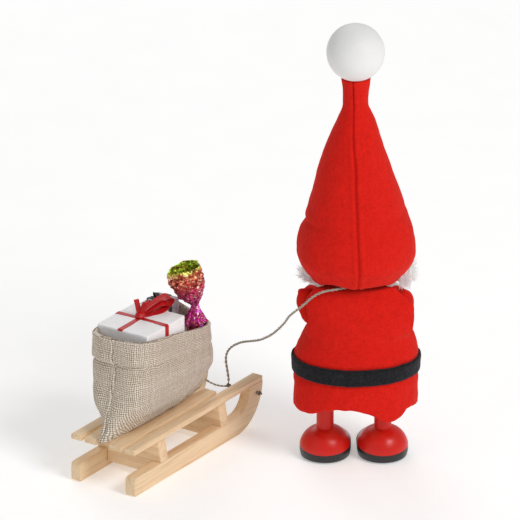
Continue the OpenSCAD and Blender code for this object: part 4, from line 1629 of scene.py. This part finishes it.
# Reach, direction, height, width and tilt of each loop
BOW_LOOPS = [
    (15, -0.26, 2.4, 3.8, 0.1), (10.8, -0.06, 2.4, 3.0, -0.15), (11, -0.55, 1.8, 3.2, 0.2),
    (8, -0.15, 1.3, 3, 0.3),
]
BOW_TAILS = [
    [(0, 0, 0), (0, 0.8, 1.6), (0.1, 1.3, 3.4), (0.1, 1.9, 5.4)],
    [(0.2, -0.2, 0), (0.4, -0.6, 1.6), (0.5, -1.0, 3.4), (0.6, -1.9, 4.9), (0.7, -2.9, 4.7)],
]


def bow_loop(start, reach, spread, lift, tilt):
    """Line and width direction of one bow loop, out from the knot and back."""
    out = Vector((cos(spread), sin(spread), 0))
    side = Vector((-out.y, out.x, 0))
    line = []
    for k in range(33):
        t = tau * k / 32
        go = reach * (1 - cos(t)) / 2
        rise = lift * sin(t) * (0.4 + 0.6 * go / reach) + 0.12 * go
        line.append(start + out * go + Vector((0, 0, rise)) + side * tilt * go)
    return line, side * cos(tilt) + Vector((0, 0, sin(tilt * 2)))


def bow():
    """A ribbon bow: big loops towards the front, two short tails up, a knot over the crossing."""
    skins = []
    for reach, spread, lift, wide, tilt in BOW_LOOPS:
        line, across = bow_loop(BOW_AT, reach, spread, lift, tilt)
        skins.append(ribbon(line, lambda s, w=wide: w * (0.45 + 0.55 * sin(pi * s)), 0.14, across, 0.12))
    for tail in BOW_TAILS:
        line = smooth_path([BOW_AT + Vector(p) for p in tail], 0.5)
        skins.append(ribbon(line, even(1.8), 0.18, (0.56, -0.83, 0.1), 0.12))
    centre = BOW_AT + Vector((0.1, 0.1, -0.1))
    skins.append(ball(centre, (2.1, 1.9, 1.4), 28, 40, lambda p: 0.3 * lump(p, 1.1, 83) - 0.1, on_sled))
    bands("bow_ribbon", skins, RED_RIBBON, "white_gift", "gift_bow")


def small_gift():
    box = parcel("small_gift_paper", SMALL_AT, SMALL, 85, 0.2)
    wear(box, GREY_PAPER, "dark_gift", ["dark_gift"])
    strips = [
        ribbon(around(SMALL_AT, SMALL, 0.5, True), even(BAND), 0.18, (0, 1, 0)),
        ribbon(around(SMALL_AT, SMALL, 0.55, False), even(BAND), 0.18, (1, 0, 0)),
    ]
    top = SMALL_AT + Vector((SMALL.x * 0.55, SMALL.y * 0.5, SMALL.z + 0.3))
    for reach, spread, lift in ((4.6, 2.4, 0.9), (4.2, 0.9, 1.0), (3.6, -2.4, 0.8)):
        line, across = bow_loop(top, reach, spread, lift, 0.1)
        strips.append(ribbon(line, even(1.7), 0.16, across, 0.08))
    bands("small_gift_bands", strips, DARK_RIBBON, "dark_gift", "dark_gift_band")


gift()
bow()
small_gift()

# ---------------------------------------------------------------- foil-wrapped sweet

SWEET_AT = Vector((47.4, -6.2, 53.4))
SWEET_TURN = Matrix.Rotation(radians(-8), 3, "Y") @ Matrix.Rotation(radians(-15), 3, "X")
SWEET_FOOT = SLED_H + 0.05 + 26.4 + 0.1
SWEET_CORE_R = 3.6
SWEET_CORE_Z = 7.6
TAIL_H = SWEET_AT.z - SWEET_FOOT
# Radii of the foil: the tail by share of its height, the cup by height
TAIL_R = [(0, 2.4), (0.2, 2.7), (0.3, 3.8), (0.36, 4.0), (0.55, 3.1), (0.75, 2.0), (0.9, 1.4), (1.0, 1.15)]
CUP_OUTSIDE = [(0, 1.2), (0.7, 1.5), (2.6, 3.3), (5.6, 5.3), (9, 6.1), (12, 6.3), (14.2, 6.1)]
CUP_INSIDE = [(3.6, 3.9), (5.6, 4.7), (9, 5.45), (12, 5.65), (14, 5.6)]


def facet(a, h):
    """Flat sides towards the cup's rim, in millimetres outward: the foil's edge folds at seven corners."""
    part = tau / 7
    off = (a + 0.3) % part - part / 2
    return 6.2 * ease(h, 8, 12) * (cos(part / 2) / cos(off) - 0.96)


def foil_tail(a, t):
    """Point of the pleated tail at an angle and a share of its height."""
    r = curve_at(t, TAIL_R)
    pleat = 0.55 * (1 - 0.5 * t) * sin(9 * a + 1.3 * t) + 0.3 * sin(17 * a + 2)
    lift = 0.9 * bell(t - 0.33, 0.12) * sin(4 * a + 0.7)
    r += pleat * r / 3.4
    return Vector((SWEET_AT.x + cos(a) * r, SWEET_AT.y + sin(a) * r, SWEET_FOOT + TAIL_H * t + lift))


def foil_cup(a, h, table):
    """Point of the crumpled cup at an angle and a height, outside or inside as the table of radii says."""
    n = Vector((cos(a), sin(a), 0))
    p = n * curve_at(h, table) + Vector((0, 0, h))
    if table is CUP_INSIDE:
        dent = 0.3 * (crumple(p, 1) - 0.5)
    else:
        share = ease(h, 1, 5)
        dent = share * 1.5 * (crumple(p, 1) - 0.35) * (1 - 0.6 * ease(h, 11.5, 12.5))
        dent = min(0.45, dent + 0.3 * (1 - share) * sin(9 * a))
    wave = 0.35 * sin(2 * a + 0.6) + 0.25 * lump((3 * cos(a), 3 * sin(a), 0), 1.5, 93)
    rise = Vector((0, 0, ease(h, 11.5, 14.2) * wave))
    return SWEET_AT + SWEET_TURN @ (p + n * (dent + facet(a, h)) + rise)


def sweet():
    """A sweet twisted into foil: a pleated tail, a pinched neck and an open crumpled cup."""
    angles = [tau * j / 90 for j in range(90)]
    rows = [[foil_tail(a, k / 16) for a in angles] for k in range(17)]
    rows += [[foil_cup(a, 0.35 + 13.85 * k / 42, CUP_OUTSIDE) for a in angles] for k in range(43)]
    rows += [[foil_cup(a, 14.1 - 10.2 * k / 20, CUP_INSIDE) for a in angles] for k in range(21)]
    shares = [0.4 * k / 16 for k in range(17)] + [0.4 + 0.5 * k / 42 for k in range(43)] + [1.0] * 21
    uv = grid_uv(shares, 90, 1, [(k / 90, height) for height in (0, 1) for k in range(90)])
    wrapper = object_from("sweet_foil", skin_of([[on_sled(p) for p in row] for row in rows]), uv)
    wrapper.data.set_sharp_from_angle(angle=radians(34))
    wear(wrapper, foil("foil"), "sweet", ["sweet_wrapper"])
    centre = SWEET_AT + SWEET_TURN @ Vector((0, 0, SWEET_CORE_Z))
    core = ball(centre, (SWEET_CORE_R - 0.05,) * 3, 40, 60, lambda p: 0.05 * lump(p, 2, 91), on_sled)
    wear(object_from("sweet_ball", core), SWEET, "sweet", ["sweet_core"])


sweet()

# ---------------------------------------------------------------- floor and finish


def floor():
    """A white tabletop, faintly uneven."""
    work = bmesh.new()
    bmesh.ops.create_grid(work, x_segments=60, y_segments=60, size=6)
    for v in work.verts:
        v.co.z = -0.0002 + 0.00002 * noise.noise(v.co * 3)
    mesh = bpy.data.meshes.new("floor_top")
    work.to_mesh(mesh)
    work.free()
    mesh.materials.append(floor_look())
    placed("floor_top", mesh)


floor()
